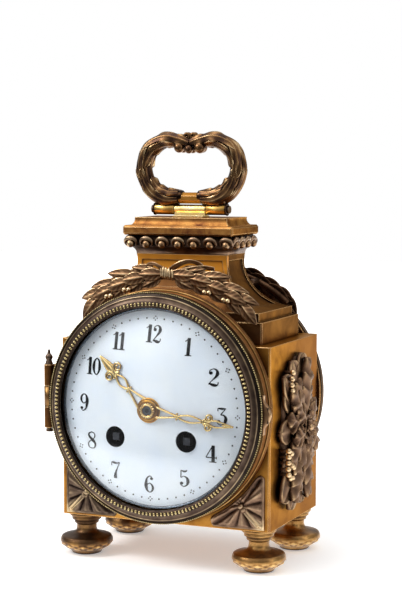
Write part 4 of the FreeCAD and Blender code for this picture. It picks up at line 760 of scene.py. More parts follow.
# %% Leaves of the handle
def wrap_leaf(first, last, start, end, spread, lobes):
    """A leaf hugging the limb from s=first to s=last while it winds from start to end degrees."""
    across = np.array([-1, -0.97, -0.85, -0.65, -0.45, -0.25, -0.1, 0, 0.1, 0.25, 0.45, 0.65, 0.85, 0.97, 1])
    rows, cols = 9 * lobes + 1, len(across)
    u = np.linspace(0, 1, rows)[:, None] * np.ones((1, cols))
    v = across[None, :] * np.ones((rows, 1))
    wave = 0.5 - 0.5 * np.cos(2 * np.pi * lobes * u)
    half = spread * np.sin(np.pi * (0.30 + 0.70 * u) ** 1.2) ** 0.75 * (0.82 + 0.18 * wave ** 0.5)
    s = first + (last - first) * (u + 0.05 * np.abs(v) * wave)
    degrees = start + (end - start) * u + half * v
    rib = np.exp(-(v / 0.15) ** 2)
    ridge = np.cos(2 * np.pi * lobes * u + np.pi) * np.abs(v)
    proud = 0.55 + 0.35 * np.abs(v) ** 2 + 0.35 * rib + 0.28 * ridge
    proud = np.where(np.abs(v) > 0.99, -0.5, proud * np.clip(8 * (1 - u), 0, 1) ** 0.5)
    wear = 0.40 + 0.28 * rib + 0.24 * ridge + 0.30 * np.abs(v) ** 4
    return on_limb(s, degrees, proud).reshape(-1, 3), grid_faces(rows, cols), wear


limb_leaves = [  # first and last share of the limb, first and last degrees, half width in degrees, lobes
    (0.99, 0.56, 80, 36, 50, 3), (0.88, 0.44, 150, 112, 46, 3), (0.68, 0.34, 36, 92, 38, 2),
    (0.03, 0.48, 60, 96, 33, 3), (0.05, 0.62, 8, 2, 38, 4), (0.02, 0.36, 130, 150, 36, 3),
]
for first, last, start, end, spread, lobes in limb_leaves:
    for face in (1, -1):
        points, faces, wear = wrap_leaf(first, last, face * start, face * end, spread, lobes)
        outward = 1 if last > first else -1
        for side in (1, -1):
            handle.add(points * np.array([side, 1, 1]), mirrored_faces(faces, outward * side), wear)
print(4 * len(limb_leaves), "leaves round the limbs")

# %% [markdown]
# ## Fittings of the handle
# Two gilt knuckles turn on the hinge pin, with a thin dark plate at their outer ends, and an
# eight sided gilt bar joins the limbs above them. Volutes, small leaves and berries fill the dip where
# the limbs meet at the top.

# %% Knuckles, bar, curls and berries of the handle
knuckles = Casting()
for side in (1, -1):
    outwards = (side, 0, 0)
    knuckle = [(0, 2.2), (0.3, 2.55), (9.2, 2.55), (9.5, 2.3)]
    knuckles.add(*turned_along(knuckle, (side * 7.8, 0, handle_axis), outwards, front), 0.7)
    plate = [(0, 2.5), (0.15, 2.8), (0.5, 2.8), (0.65, 2.5)]
    handle.add(*turned_along(plate, (side * 17.3, 0, handle_axis), outwards, front), 0.3)
    pad = [(0, 2.4), (0.4, 2.9), (8.6, 2.9), (9.2, 2.3)]
    handle.add(*turned_along(pad, (side * 8.0, 0, handle_axis + 4.3), outwards, (0, -1, 1), 4), 0.42)
    for face in (-1.0, 1.0):
        y = 0.9 * face
        t = np.linspace(0, 1, 26)
        turn = np.radians(-60 + 400 * t)
        roll = 1.45 * (1 - 0.62 * t)
        curl = np.stack([side * (1.75 - roll * np.cos(turn)), y + 0.5 * face * t,
                         188.6 + roll * np.sin(turn)], -1)
        handle.add(*tube(curl, 0.75 - 0.25 * t, 8), 0.55)
        add_leaf(handle, (side * 1.2, y * 1.7, 185.4), (side, 0.0, 0.42), (0.0, face, 0.5), 8.5, 4.4,
                 curl=-0.1)
        add_leaf(handle, (side * 0.6, y * 1.5, 184.4), (side * 0.25, 0.0, 1.0), (0.0, face, 0.2), 5.0, 3.4,
                 curl=-0.2)
for x, y, z, radius in ((-5.0, -1.7, 183.5, 2.4), (0.0, -2.3, 182.7, 1.95), (5.1, -1.7, 183.4, 2.6),
                        (-4.6, 2.2, 183.3, 2.2), (0.0, 2.3, 182.8, 1.9), (4.7, 2.2, 183.3, 2.2)):
    handle.add(*ball((x, y, z), radius, 12, 20), 0.50)
for x in (-6.6, 5.6):
    collar = [(0, 2.4), (0.2, 3.0), (0.8, 3.0), (1.0, 2.4)]
    handle.add(*turned_along(collar, (x, 0, handle_axis + 5.1), (1, 0, 0), front), 0.4)
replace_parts(handle.pour("handle_cast", handle_patina, "handle", "gilt_bronze"), "handle")
knuckles.pour("handle_knuckles", bright_gilt, "handle", "gilt_bronze")

bar = Casting()
bar_profile = [(0, 2.45), (0.25, 2.72), (10.95, 2.72), (11.2, 2.45)]
bar_edge = (0, -math.cos(0.39), math.sin(0.39))
bar.add(*turned_along(bar_profile, (-5.6, 0, handle_axis + 5.0), (1, 0, 0), bar_edge, 8), 0.8)
cross_bar = bar.pour("handle_cross_bar", gilt_bronze, "handle", "gilt_bronze")
for face in cross_bar.data.polygons:
    face.use_smooth = False

# %% [markdown]
# ## Digits of the dial
# The numerals are painted with a brush: each digit is a few strokes that swell and thin out. A stroke is
# a smooth line of (across, up, width) in a digit one unit high, and a stroke of one point is a round
# blob. A nine is a six turned round.

# %% Brush strokes of the digits
thin, bold = 0.05, 0.175
digit_strokes = {
    "1": [[(0.26, 0, bold), (0.26, 0.5, bold), (0.26, 1, bold)],
          [(0.05, 0.80, thin), (0.14, 0.86, 0.05), (0.26, 0.985, 0.09)],
          [(0.08, 0.018, thin), (0.44, 0.018, thin)]],
    "2": [[(0.12, 0.74, 0.17)],
          [(0.06, 0.74, 0.05), (0.08, 0.88, 0.04), (0.24, 0.982, thin), (0.38, 0.90, 0.11),
           (0.42, 0.73, bold), (0.35, 0.54, 0.12), (0.20, 0.33, 0.05), (0.05, 0.10, thin)],
          [(0.05, 0.10, thin), (0.12, 0.12, 0.09), (0.25, 0.075, 0.15), (0.38, 0.06, 0.13),
           (0.46, 0.12, 0.05), (0.48, 0.25, thin)]],
    "3": [[(0.07, 0.80, thin), (0.075, 0.93, 0.04), (0.10, 0.96, 0.06), (0.25, 0.945, 0.11),
           (0.42, 0.97, thin)],
          [(0.42, 0.975, thin), (0.32, 0.80, thin), (0.20, 0.60, thin)],
          [(0.20, 0.59, thin), (0.33, 0.585, 0.07), (0.42, 0.47, 0.13), (0.43, 0.30, bold),
           (0.36, 0.10, 0.09), (0.22, 0.015, thin), (0.09, 0.09, 0.04), (0.06, 0.20, 0.05)],
          [(0.12, 0.21, 0.16)]],
    "4": [[(0.34, 0.99, thin), (0.03, 0.29, thin)], [(0.03, 0.275, thin), (0.50, 0.275, thin)],
          [(0.50, 0.20, 0.03), (0.50, 0.35, 0.03)], [(0.35, 0, bold), (0.35, 0.98, bold)],
          [(0.18, 0.018, thin), (0.50, 0.018, thin)]],
    "5": [[(0.10, 0.985, 0.03), (0.13, 0.95, 0.05), (0.28, 0.91, 0.10), (0.40, 0.985, thin)],
          [(0.11, 0.97, thin), (0.095, 0.54, thin)],
          [(0.095, 0.53, thin), (0.24, 0.62, 0.04), (0.38, 0.52, 0.12), (0.42, 0.32, bold),
           (0.36, 0.11, 0.09), (0.22, 0.015, thin), (0.09, 0.09, 0.04), (0.06, 0.19, 0.05)],
          [(0.12, 0.20, 0.16)]],
    "6": [[(0.40, 0.86, 0.05), (0.36, 0.96, 0.035), (0.27, 0.985, thin), (0.14, 0.82, 0.09),
           (0.085, 0.5, bold), (0.09, 0.30, bold), (0.14, 0.1, 0.10), (0.26, 0.015, thin), (0.37, 0.11, 0.09),
           (0.42, 0.29, 0.13), (0.37, 0.47, 0.09), (0.27, 0.555, thin), (0.17, 0.48, thin),
           (0.12, 0.36, thin)],
          [(0.375, 0.84, 0.15)]],
    "7": [[(0.05, 0.75, thin), (0.06, 0.90, 0.04), (0.09, 0.955, 0.07), (0.22, 0.93, 0.12),
           (0.36, 0.93, 0.06), (0.47, 0.985, thin)],
          [(0.47, 0.98, thin), (0.36, 0.66, 0.05), (0.27, 0.40, 0.10), (0.23, 0.15, bold), (0.23, 0, bold)]],
    "8": [[(0.25, 0.985, thin), (0.12, 0.90, 0.07), (0.09, 0.77, 0.10), (0.17, 0.64, 0.13),
           (0.30, 0.51, bold), (0.42, 0.36, 0.13), (0.44, 0.20, 0.10), (0.38, 0.06, 0.06),
           (0.26, 0.015, thin), (0.13, 0.06, 0.05), (0.07, 0.20, 0.07), (0.10, 0.36, 0.05),
           (0.24, 0.50, thin), (0.37, 0.63, 0.04), (0.42, 0.78, 0.06), (0.38, 0.92, 0.05),
           (0.25, 0.985, thin)]],
    "0": [[(0.26, 0.98, thin), (0.40, 0.82, 0.10), (0.45, 0.5, bold), (0.40, 0.18, 0.10), (0.26, 0.02, thin),
           (0.12, 0.18, 0.10), (0.07, 0.5, bold), (0.12, 0.82, 0.10), (0.26, 0.98, thin)]],
}
digit_strokes["9"] = [[(0.52 - x, 1 - y, w) for x, y, w in stroke] for stroke in digit_strokes["6"]]
print(len(digit_strokes), "digits drawn with", sum(map(len, digit_strokes.values())), "strokes")

# %% [markdown]
# ## Paint on a domed dial
# The dial is part of a large sphere. A stroke is laid on it as a thin closed band, so the paint follows
# the enamel. The same band, thicker and with a raised middle, makes the hands later. The dial was
# fitted two degrees askew and stays so.

# %% Bands on the dome and the numerals
dome_radius = 190.55
dome_centre = 146.05
dial_askew = 2.0
numeral_height = 7.5
numeral_circle = 32.7
paint_thickness = 0.2
band_across = np.array([-0.5, -0.27, 0.0, 0.27, 0.5])
band_hump = np.array([0.0, 0.72, 1.0, 0.72, 0.0])


def on_dome(right, up, lift):
    """A point over the dial, right and up of its centre, lifted from the enamel."""
    right, up = np.broadcast_arrays(right, up)
    y = dome_centre - np.sqrt((dome_radius + lift) ** 2 - right ** 2 - up ** 2)
    return np.stack([right, y, dial_z + up], -1)


def dome_band(casting, line, lift, thickness, wear, crown=0.0, rim_wear=0.0):
    """A band along (right, up, width), closed below, its middle raised by the crown."""
    line = np.asarray(line, float)
    ahead = np.gradient(line[:, :2], axis=0)
    ahead /= np.linalg.norm(ahead, axis=1)[:, None] + 1e-9
    left = np.stack([-ahead[:, 1], ahead[:, 0]], -1)
    flat = line[:, None, :2] + (band_across[None, :] * line[:, 2:3])[..., None] * left[:, None, :]
    top = on_dome(flat[..., 0], flat[..., 1], lift + crown * band_hump)
    bottom = on_dome(flat[..., 0], flat[..., 1], lift - thickness)
    band_wear = rim_wear + (wear - rim_wear) * band_hump
    casting.add(*closed_sheet(top, bottom, len(line), 5), np.tile(band_wear, 2 * len(line)))


def turned_on_dial(line, clockwise):
    a = math.radians(clockwise)
    turned = line.copy()
    turned[:, 0] = line[:, 0] * math.cos(a) + line[:, 1] * math.sin(a)
    turned[:, 1] = line[:, 1] * math.cos(a) - line[:, 0] * math.sin(a)
    return turned


def blob(x, y, radius, steps):
    """The line of a round spot."""
    t = np.linspace(-1, 1, steps)
    return np.stack([x + radius * t, y + 0 * t, 2 * radius * np.sqrt(1 - 0.98 * t ** 2)], -1)


numerals = Casting()
for hour in range(1, 13):
    text = str(hour)
    steps = [0.38 if digit == "1" and len(text) == 2 else 0.50 for digit in text]
    stretch = 1.28 if len(text) == 1 and text != "1" else 1.06
    pen = -0.5 * sum(steps) - 0.01
    a = math.radians(30 * hour)
    for digit, step in zip(text, steps):
        nudge = 0.06 if digit == "1" and len(text) == 2 else 0.0
        for stroke in digit_strokes[digit]:
            if len(stroke) == 1:
                x, y, w = stroke[0]
                stroke = blob(x, y, 0.5 * w, 9)
            else:
                stroke = smooth_line(stroke, 2 + 6 * len(stroke))
            line = (stroke + [pen - nudge, -0.5, 0.0]) * numeral_height * np.array([stretch, 1.0, 1.08])
            line[:, :2] += numeral_circle * np.array([math.sin(a), math.cos(a)])
            dome_band(numerals, turned_on_dial(line, dial_askew), 0.5 * paint_thickness, paint_thickness, 0.0)
        pen += step
numerals.pour("dial_numerals", black_enamel, "case", "enamel")

# %% [markdown]
# ## Rings of beads and dots
# The bezel carries two rows of beads, the dial a ring of minute dots, and the hands' collet a ring of
# its own. They share one rule: a small shape repeated round a circle. One Geometry Nodes tree follows
# it, with the count, the radius, the gaps and the shape as inputs.

# %% Ring tree
ring_nodes = bpy.data.node_groups.new("ring of pieces", "GeometryNodeTree")
for label, kind in (("Count", "Int"), ("Radius", "Float"), ("Leave out every", "Int"), ("Clockwise", "Float"),
                    ("Forward", "Float"), ("Height", "Float"), ("Piece", "Object"), ("Finish", "Material")):
    ring_nodes.interface.new_socket(label, in_out="INPUT", socket_type="NodeSocket" + kind)
ring_nodes.interface.new_socket("Geometry", in_out="OUTPUT", socket_type="NodeSocketGeometry")
given = add(ring_nodes, "NodeGroupInput").outputs
circle = add(ring_nodes, "GeometryNodeMeshCircle", {"Vertices": given["Count"], "Radius": given["Radius"]})
index = add(ring_nodes, "GeometryNodeInputIndex").outputs[0]
order = add(ring_nodes, "ShaderNodeMath", {0: index, 1: given["Leave out every"]}, operation="MODULO")
gap = add(ring_nodes, "ShaderNodeMath", {0: given["Leave out every"], 1: 1.5}, operation="SUBTRACT")
left_out = add(ring_nodes, "ShaderNodeMath", {0: order.outputs[0], 1: gap.outputs[0]},
               operation="GREATER_THAN")
places = add(ring_nodes, "GeometryNodeDeleteGeometry", {"Geometry": circle.outputs[0],
                                                        "Selection": left_out.outputs[0]})
position = add(ring_nodes, "GeometryNodeInputPosition").outputs[0]
outwards = add(ring_nodes, "FunctionNodeAlignRotationToVector", {"Vector": position},
               axis="X", pivot_axis="Z")
sample_piece = add(ring_nodes, "GeometryNodeObjectInfo", {"Object": given["Piece"]})
repeated = add(ring_nodes, "GeometryNodeInstanceOnPoints", {
    "Points": places.outputs[0], "Instance": sample_piece.outputs["Geometry"],
    "Rotation": outwards.outputs[0]})
solid = add(ring_nodes, "GeometryNodeRealizeInstances", {"Geometry": repeated.outputs[0]})
upright = add(ring_nodes, "ShaderNodeCombineXYZ", {"X": math.radians(90), "Y": given["Clockwise"]})
facing = add(ring_nodes, "FunctionNodeEulerToRotation", {0: upright.outputs[0]})
lifted = add(ring_nodes, "ShaderNodeCombineXYZ", {"Y": given["Forward"], "Z": given["Height"]})
stood = add(ring_nodes, "GeometryNodeTransform", {"Geometry": solid.outputs[0], "Rotation": facing.outputs[0],
                                                  "Translation": lifted.outputs[0]})
coated = add(ring_nodes, "GeometryNodeSetMaterial", {"Geometry": stood.outputs[0],
                                                     "Material": given["Finish"]})
add(ring_nodes, "NodeGroupOutput", {"Geometry": coated.outputs[0]})
ring_sockets = ring_nodes.interface.items_tree
ring_inputs = {socket.name: socket.identifier for socket in ring_sockets if socket.in_out == "INPUT"}
print("ring tree with", len(ring_inputs), "inputs")

# %% [markdown]
# ## Minute dots
# A small empty object carries the tree, and its evaluated result becomes a plain mesh, because the
# clock is handed over without modifiers. The dial has a dot for each minute, and a lozenge of four dots
# in place of every fifth.

# %% Ring function and the dots of the dial
never = 10000


def ring(name, count, radius, y, shape, finish, body, slot, clockwise=0.0, every=never):
    """Repeat a Casting, drawn with x outwards and z to the front, round the dial's axis."""
    sample = shape.pour(name + "_sample", finish, body, slot)
    host = bpy.data.objects.new(name, bpy.data.meshes.new(name + "_host"))
    bpy.context.scene.collection.objects.link(host)
    modifier = host.modifiers.new("ring", "NODES")
    modifier.node_group = ring_nodes
    for label, value in (("Count", count), ("Radius", radius * MM), ("Leave out every", every),
                         ("Forward", y * MM), ("Clockwise", math.radians(clockwise)), ("Height", dial_z * MM),
                         ("Piece", sample), ("Finish", finish)):
        modifier[ring_inputs[label]] = value
    evaluated = host.evaluated_get(bpy.context.evaluated_depsgraph_get())
    mesh = bpy.data.meshes.new_from_object(evaluated)
    host.modifiers.clear()
    host.data = mesh
    bpy.data.objects.remove(sample)
    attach(host, body)
    print(name, len(mesh.polygons), "faces")
    return host


dot_circle = 39.3
dot_y = dome_centre - math.sqrt(dome_radius ** 2 - dot_circle ** 2) - 0.05
flat_dot = (1, 1, 0.3)
dot = Casting()
dot.add(*ball((0, 0, 0), 0.41, 4, 8, flat_dot), 0.0)
ring("dial_minute_dots", 60, dot_circle, dot_y, dot, black_enamel, "case", "enamel", dial_askew - 6, 5)
lozenge = Casting()
for x, y in ((0.78, 0), (-0.78, 0), (0, 0.78), (0, -0.78)):
    lozenge.add(*ball((x, y, 0.2 * -x), 0.32, 4, 8, flat_dot), 0.0)
ring("dial_five_minute_marks", 12, dot_circle, dot_y, lozenge, black_enamel, "case", "enamel", dial_askew)

# %% [markdown]
# ## The hands
# The hands are pierced and chased brass, gilt: thin bands that part, cross and curl into volutes before
# a leaf shaped tip. Only the right half of a hand is drawn, with x away from its middle and y towards
# its tip, and the left half is its mirror image. Both hands follow the dome of the dial at the heights
# of the solids that they replace. A ring of small long beads flutes the minute hand's collet.

# %% Hour and minute hands
band_thickness = 0.38


def volute(x, y, radius):
    t = np.linspace(0, 1, 40)
    turn = math.radians(250) - 2 * math.pi * 1.6 * t
    reach = radius * (1 - 0.74 * t)
    return np.stack([x + reach * np.cos(turn), y + reach * np.sin(turn), 0.95 - 0.35 * t], -1)


def pierced_hand(clockwise, lift, crown, strokes, curl, knots):
    hand = Casting()
    lines = [smooth_line(stroke, 8 * len(stroke)) for stroke in strokes] + [volute(*curl)]
    for line in lines:
        for side in (1, -1) if line[:, 0].any() else (1,):
            half = turned_on_dial(line * np.array([side, 1, 1]), clockwise)
            dome_band(hand, half, lift + band_thickness, band_thickness, 1.25, crown, 0.45)
    for x, y, radius in knots:
        knot = turned_on_dial(blob(x, y, radius, 11), clockwise)
        dome_band(hand, knot, lift + 0.40, 0.40, 1.25, crown, 0.5)
    return hand


def collet(hand, y, profile):
    """A turned collet from (forward, radius, wear) rows."""
    turned = turned_along([row[:2] for row in profile], (0, y, dial_z), front, (1, 0, 0), 48)
    hand.add(*turned, np.repeat([row[2] for row in profile], 48))


hour_strokes = [
    [(2.9, 3.6, 1.2), (1.5, 8.3, 0.95), (0.35, 12.8, 0.8), (0.5, 13.6, 0.7), (1.5, 14.2, 0.5)],
    [(0.3, 13.2, 0.8), (1.75, 16.3, 0.85), (1.6, 18.6, 0.8), (0.4, 21.3, 0.8)],
    [(0.3, 22.3, 0.8), (1.55, 25.4, 0.85), (1.3, 28.0, 0.75), (0.2, 32.7, 0.45)],
    [(0.0, 23.2, 0.7), (0.0, 25.4, 2.5), (0.0, 27.8, 2.2), (0.0, 32.6, 0.4)],
]
hour_hand = pierced_hand(312.0, 0.35, 0.25, hour_strokes, (2.9, 23.3, 2.4),
                         [(0, 21.7, 1.1), (0, 13.0, 0.8), (1.25, 12.6, 0.5), (-1.25, 12.6, 0.5)])
collet(hour_hand, -44.7, [(0, 5.0, 0.2), (0.1, 5.4, 0.5), (0.35, 5.5, 0.75), (0.55, 5.3, 0.6),
                          (0.72, 4.9, 0.4), (0.72, 1.5, 0.3)])
minute_strokes = [
    [(2.2, 4.0, 1.1), (1.2, 9.0, 0.9), (0.3, 13.6, 0.75), (0.45, 14.6, 0.6), (1.2, 15.2, 0.45)],
    [(0.3, 14.0, 0.75), (1.35, 17.8, 0.8), (1.3, 21.0, 0.75), (0.35, 24.6, 0.7)],
    [(0.3, 26.0, 0.7), (1.3, 30.2, 0.8), (1.1, 33.0, 0.7), (0.15, 38.3, 0.4)],
    [(0.0, 33.6, 0.6), (0.0, 35.4, 1.2), (0.0, 38.3, 0.4)],
]
minute_hand = pierced_hand(98.0, 1.05, 0.42, minute_strokes, (2.1, 27.4, 1.85),
                           [(0, 25.4, 0.95), (0, 13.8, 0.75), (1.2, 13.5, 0.45), (-1.2, 13.5, 0.45)])
collet(minute_hand, -45.5, [(0, 4.0, 0.2), (0.05, 4.5, 0.35), (0.3, 4.6, 0.6), (0.5, 4.3, 0.55),
                            (0.62, 3.9, 0.45), (0.64, 3.5, 0.35), (0.62, 3.05, 0.2), (1.2, 2.95, 0.5),
                            (1.5, 2.75, 1.0), (1.52, 2.5, 1.0), (1.4, 2.2, 0.7), (0.8, 2.05, 0.1)])
for name, casting in (("hour_hand", hour_hand), ("minute_hand", minute_hand)):
    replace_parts(casting.pour(name + "_pierced", hand_gilt, name, "gilt_bronze"), name)
flute = Casting()
flute.add(*ball((0, 0, 0), 0.46, 5, 8, (1.0, 0.8, 1.5)), 1.0)
ring("minute_hand_flutes", 18, 3.05, -46.4, flute, hand_gilt, "minute_hand", "gilt_bronze")

# %% [markdown]
# ## The bezel
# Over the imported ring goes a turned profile: a lip at the rim, a sloping face and a second lip beside the
# glass, with a seat for a row of pearls between the two. At the right an ogee shaped thumb piece swells
# from the rim, to open the bezel by. It is a grid over its length and its depth.

# %% Bezel profile and thumb piece
def turned_ring(casting, profile, wear, segments=180):
    """A ring turned round the dial's axis from (radius, y) pairs, outer rim first."""
    a = 2 * np.pi * np.arange(segments) / segments
    rows = [np.stack([r * np.cos(a), y + 0 * a, dial_z + r * np.sin(a)], -1) for r, y in profile]
    faces = grid_faces(len(rows), segments, around_rows=True, around_cols=True)
    casting.add(np.vstack(rows), faces, np.repeat(wear, segments))


bezel = Casting()
bezel_section = [
    (48.95, -41.2), (48.95, -41.75), (48.75, -42.0), (48.45, -42.0), (48.25, -41.95), (46.9, -42.9),
    (46.7, -43.1), (46.55, -43.35), (46.3, -43.75), (45.0, -43.8), (44.7, -44.0), (44.35, -43.95),
    (44.1, -43.7), (44.05, -42.95), (45.0, -42.95)]
bezel_wear = [0.2, 0.6, 0.8, 0.55, 0.40, 0.48, 0.55, 0.3, 0.2, 0.3, 0.5, 0.4, 0.12, 0.05, 0.05]
turned_ring(bezel, bezel_section, bezel_wear)
bezel.pour("bezel_profile", dark_patina_and_shade, "bezel", "dark_bronze")

thumb_up = np.linspace(-8.5, 8.5, 35)[:, None]
thumb_y = np.array([-39.5, -39.45, -38.9, -38.05, -37.2, -36.75, -36.65])[None, :]
swell = np.array([0.0, 0.7, 1.0, 1.06, 1.0, 0.7, 0.0])[None, :]
ogee = 50.55 + 2.5 * np.exp(-(thumb_up / 4.6) ** 4) + 0.5 * np.exp(-(thumb_up / 1.4) ** 2)
thumb_out = 50.0 + (ogee - 50.0) * swell
thumb_y, thumb_z, thumb_wear = np.broadcast_arrays(thumb_y, dial_z + thumb_up, 0.35 + 0.3 * swell)
thumb_top = np.stack([thumb_out, thumb_y, thumb_z], -1)
thumb_low = np.stack([np.full(thumb_out.shape, 49.4), thumb_y, thumb_z], -1)
points, faces = closed_sheet(thumb_top, thumb_low, *thumb_out.shape)
thumb = Casting()
thumb.add(points, turned_over(faces), np.concatenate([thumb_wear.ravel(), np.full(thumb_wear.size, 0.2)]))
thumb.pour("bezel_thumb_piece", patina, "bezel", "gilt_bronze")

# %% [markdown]
# ## Small turned rings and sleeves
# A blue grey steel ring fills the gap between the dial and the bezel, and a round moulding runs along
# the drum behind the bezel. Three sleeves are short pipes: one of worn gilding round the bezel's middle
# knuckle, and two of black enamel inside the winding holes down to the arbors, a painted shade for the
# dark inside of the holes.

# %% Dial surround, drum moulding and sleeves
surround = Casting()
surround_section = [(43.85, -38.0), (43.85, -39.7), (43.5, -39.85), (42.5, -39.3), (42.3, -38.0)]
turned_ring(surround, surround_section, [0.0] * len(surround_section))
surround.pour("dial_surround", surround_steel, "case", "steel")
moulding_radius, moulding_y, moulding_girth = 50.75, -32.75, 0.42
moulding_turn = np.linspace(0, 2 * np.pi, 9)[:-1]
moulding_section = [(moulding_radius + moulding_girth * math.cos(a),
                     moulding_y - moulding_girth * math.sin(a)) for a in moulding_turn]
drum_moulding = Casting()
turned_ring(drum_moulding, moulding_section, [0.58] * 8)
drum_moulding.pour("drum_front_moulding", orange_patina, "case", "gilt_bronze")


def add_sleeve(casting, inner, outer, length, start, axis, segments, wear):
    """A short pipe without end faces, since its wall is closed."""
    wall = [(0.0, inner), (0.0, outer), (length, outer), (length, inner), (0.0, inner)]
    points, faces = turned_along(wall, start, axis, (1, 0, 0), segments)
    casting.add(points, faces[:-2], wear)


hinge_x, hinge_y, _ = middle("bezel_hinge_pin")
hinge_sleeve = Casting()
add_sleeve(hinge_sleeve, 2.15, 2.3, 8.76, (hinge_x, hinge_y, 68.62), (0, 0, 1), 32, 0.48)
hinge_sleeve.pour("bezel_hinge_sleeve", orange_patina, "bezel", "gilt_bronze")
# Black sleeves in the winding holes: painted shade for their dark insides.
hole_shade_sleeves = Casting()
for arbor in ("going_arbor", "strike_arbor"):
    hole_x, _, hole_z = middle(arbor)
    add_sleeve(hole_shade_sleeves, 4.4, 4.6, 6.9, (hole_x, -36.25, hole_z), front, 48, 0.0)
hole_shade_sleeves.pour("winding_hole_sleeves", black_enamel, "case", "dark_bronze")

# %% [markdown]
# ## Beads on the bezel
# A row of pearls, longer across the row than along it, runs beside the glass, and a row of finer beads
# stands at the outer rim. The ring tree repeats both. There are hundreds of them, so each bead has only
# a few dozen faces.

# %% Rows of beads
pearl = Casting()
pearl.add(*ball((0, 0, 0), 0.62, 6, 8, (1.45, 0.92, 1.1)), 0.85)
ring("bezel_pearls", 164, 45.6, -43.85, pearl, pearl_gilt, "bezel", "gilt_bronze")
rim_bead = Casting()
rim_bead.add(*ball((0, 0, 0), 0.42, 5, 7), 0.8)
ring("bezel_rim_beads", 322, 50.3, -40.75, rim_bead, pearl_gilt, "bezel", "gilt_bronze")

# %% [markdown]
# ## The side mounts
# Each side carries a cast cartouche: fronds of acanthus over a thin oval plate, broad lobes along its
# front edge, an open flower in the middle and strings of berries, rubbed bright. The plate is a shallow
# dome with a ragged rim. A leaf is placed by where it starts and ends on the side, as (y, up) from the
# middle.

# %% Plate and leaf tools of the side mounts
mount_z = middle("side_mount_right")[2]
plate_half_depth, plate_half_height = 17.6, 31.0
to_the_right = np.array([1.0, 0.0, 0.0])
mount = Casting()
turns, rings = 96, 9
angle = 2 * np.pi * np.arange(turns)[None, :] / turns
share = np.linspace(1, 0.02, rings)[:, None]
ragged = 1 + 0.03 * np.cos(11 * angle) + 0.02 * np.cos(17 * angle + 1)
dome = 0.9 + 1.8 * (1 - share ** 2)
plate_y = plate_half_depth * share * ragged * np.sin(angle)
plate_z = mount_z + plate_half_height * share * ragged * np.cos(angle)
plate_top = np.stack([case_side + dome + 0 * angle, plate_y, plate_z], -1)
plate_low = np.stack([case_side - 0.2 + 0 * plate_y, plate_y, plate_z], -1)[:1]
plate_faces = grid_faces(rings + 1, turns, around_cols=True)
plate_faces += [tuple(range(rings * turns, (rings + 1) * turns))]
mount.add(np.vstack([plate_low, plate_top]), plate_faces, 0.22)


def mount_leaf(y, up, clockwise, length, width, lift, kind="acanthus", lean=0.0, **shape):
    """A leaf on the right side, clockwise from upright as seen from outside."""
    a, b = math.radians(clockwise), math.radians(lean)
    along = np.array([math.sin(b), math.cos(b) * math.sin(a), math.cos(b) * math.cos(a)])
    add_leaf(mount, (case_side + lift, y, mount_z + up), along, to_the_right, length, width, kind, **shape)


def mount_spray(start, end, width, lift, lobes, **shape):
    """A leaf from one (y, up) to another."""
    dy, du = end[0] - start[0], end[1] - start[1]
    clockwise = math.degrees(math.atan2(dy, du))
    mount_leaf(*start, clockwise, math.hypot(dy, du), width, lift, lobes=lobes, **shape)


print("a plate of", len(plate_faces), "faces,", mount_z, "mm up")

# %% [markdown]
# ## Leaves, flower and berries of the side mounts
# The leaves lie in four levels from the plate up to the flower: an outer ring of eleven with three more
# lobes at the front edge, a ring of seven, and two levels of single fronds. Petals are laid like leaves,
# and every berry stands on a small peg. The left side is the right one mirrored.

# %% Side mounts
outer_count, inner_count = 11, 7
for k in range(outer_count):
    a = math.radians(360 / outer_count * k + 10)
    reach = 1 + 0.03 * math.cos(2.4 * k)
    across, upwards = math.sin(a), math.cos(a)
    mount_spray((6.5 * across, 15.0 * upwards), (21.5 * reach * across, 33.0 * reach * upwards),
                15.0 - 2.5 * abs(across), 1.5, 3, curl=-0.05, lean=3, notch=0.20, thickness=1.5,
                kind="lobe" if across < 0.5 else "acanthus")
for start, end, width in (((-8.0, 13.0), (-18.5, 25.0), 12.0), ((-9.0, -15.0), (-21.0, -29.0), 14.0),
                          ((-4.0, -19.0), (-12.0, -34.0), 12.0)):
    mount_spray(start, end, width, 1.9, 3, kind="lobe", curl=-0.05, lean=3, thickness=1.5)
for k in range(inner_count):
    a = math.radians(360 / inner_count * k + 28)
    mount_spray((2.5 * math.sin(a), 1.5 + 5.0 * math.cos(a)), (15.5 * math.sin(a), 24.0 * math.cos(a)),
                12.5, 3.0, 3, curl=-0.10, lean=4, notch=0.24, thickness=1.5)
for start, end, width, lobes in (
    ((1.0, 6.0), (3.5, 31.0), 12.0, 4), ((2.5, -5.0), (5.0, -30.5), 11.5, 4),
    ((-6.5, -14.0), (-12.0, -30.0), 13.0, 3), ((-3.5, 6.0), (-14.0, 19.0), 11.0, 3),
    ((6.0, 2.0), (17.5, -10.0), 11.0, 3),
):
    mount_spray(start, end, width, 3.8, lobes, curl=-0.12, lean=5, notch=0.26, thickness=1.4)
for start, end, width in (
    ((-1.0, 3.0), (-9.5, 11.0), 9.5), ((-1.5, 0.0), (-12.5, -3.5), 9.5), ((2.5, -2.0), (6.5, -12.0), 9.0),
    ((3.0, 3.5), (12.0, 9.0), 9.0),
):
    mount_spray(start, end, width, 4.8, 3, curl=-0.16, lean=6, notch=0.26)

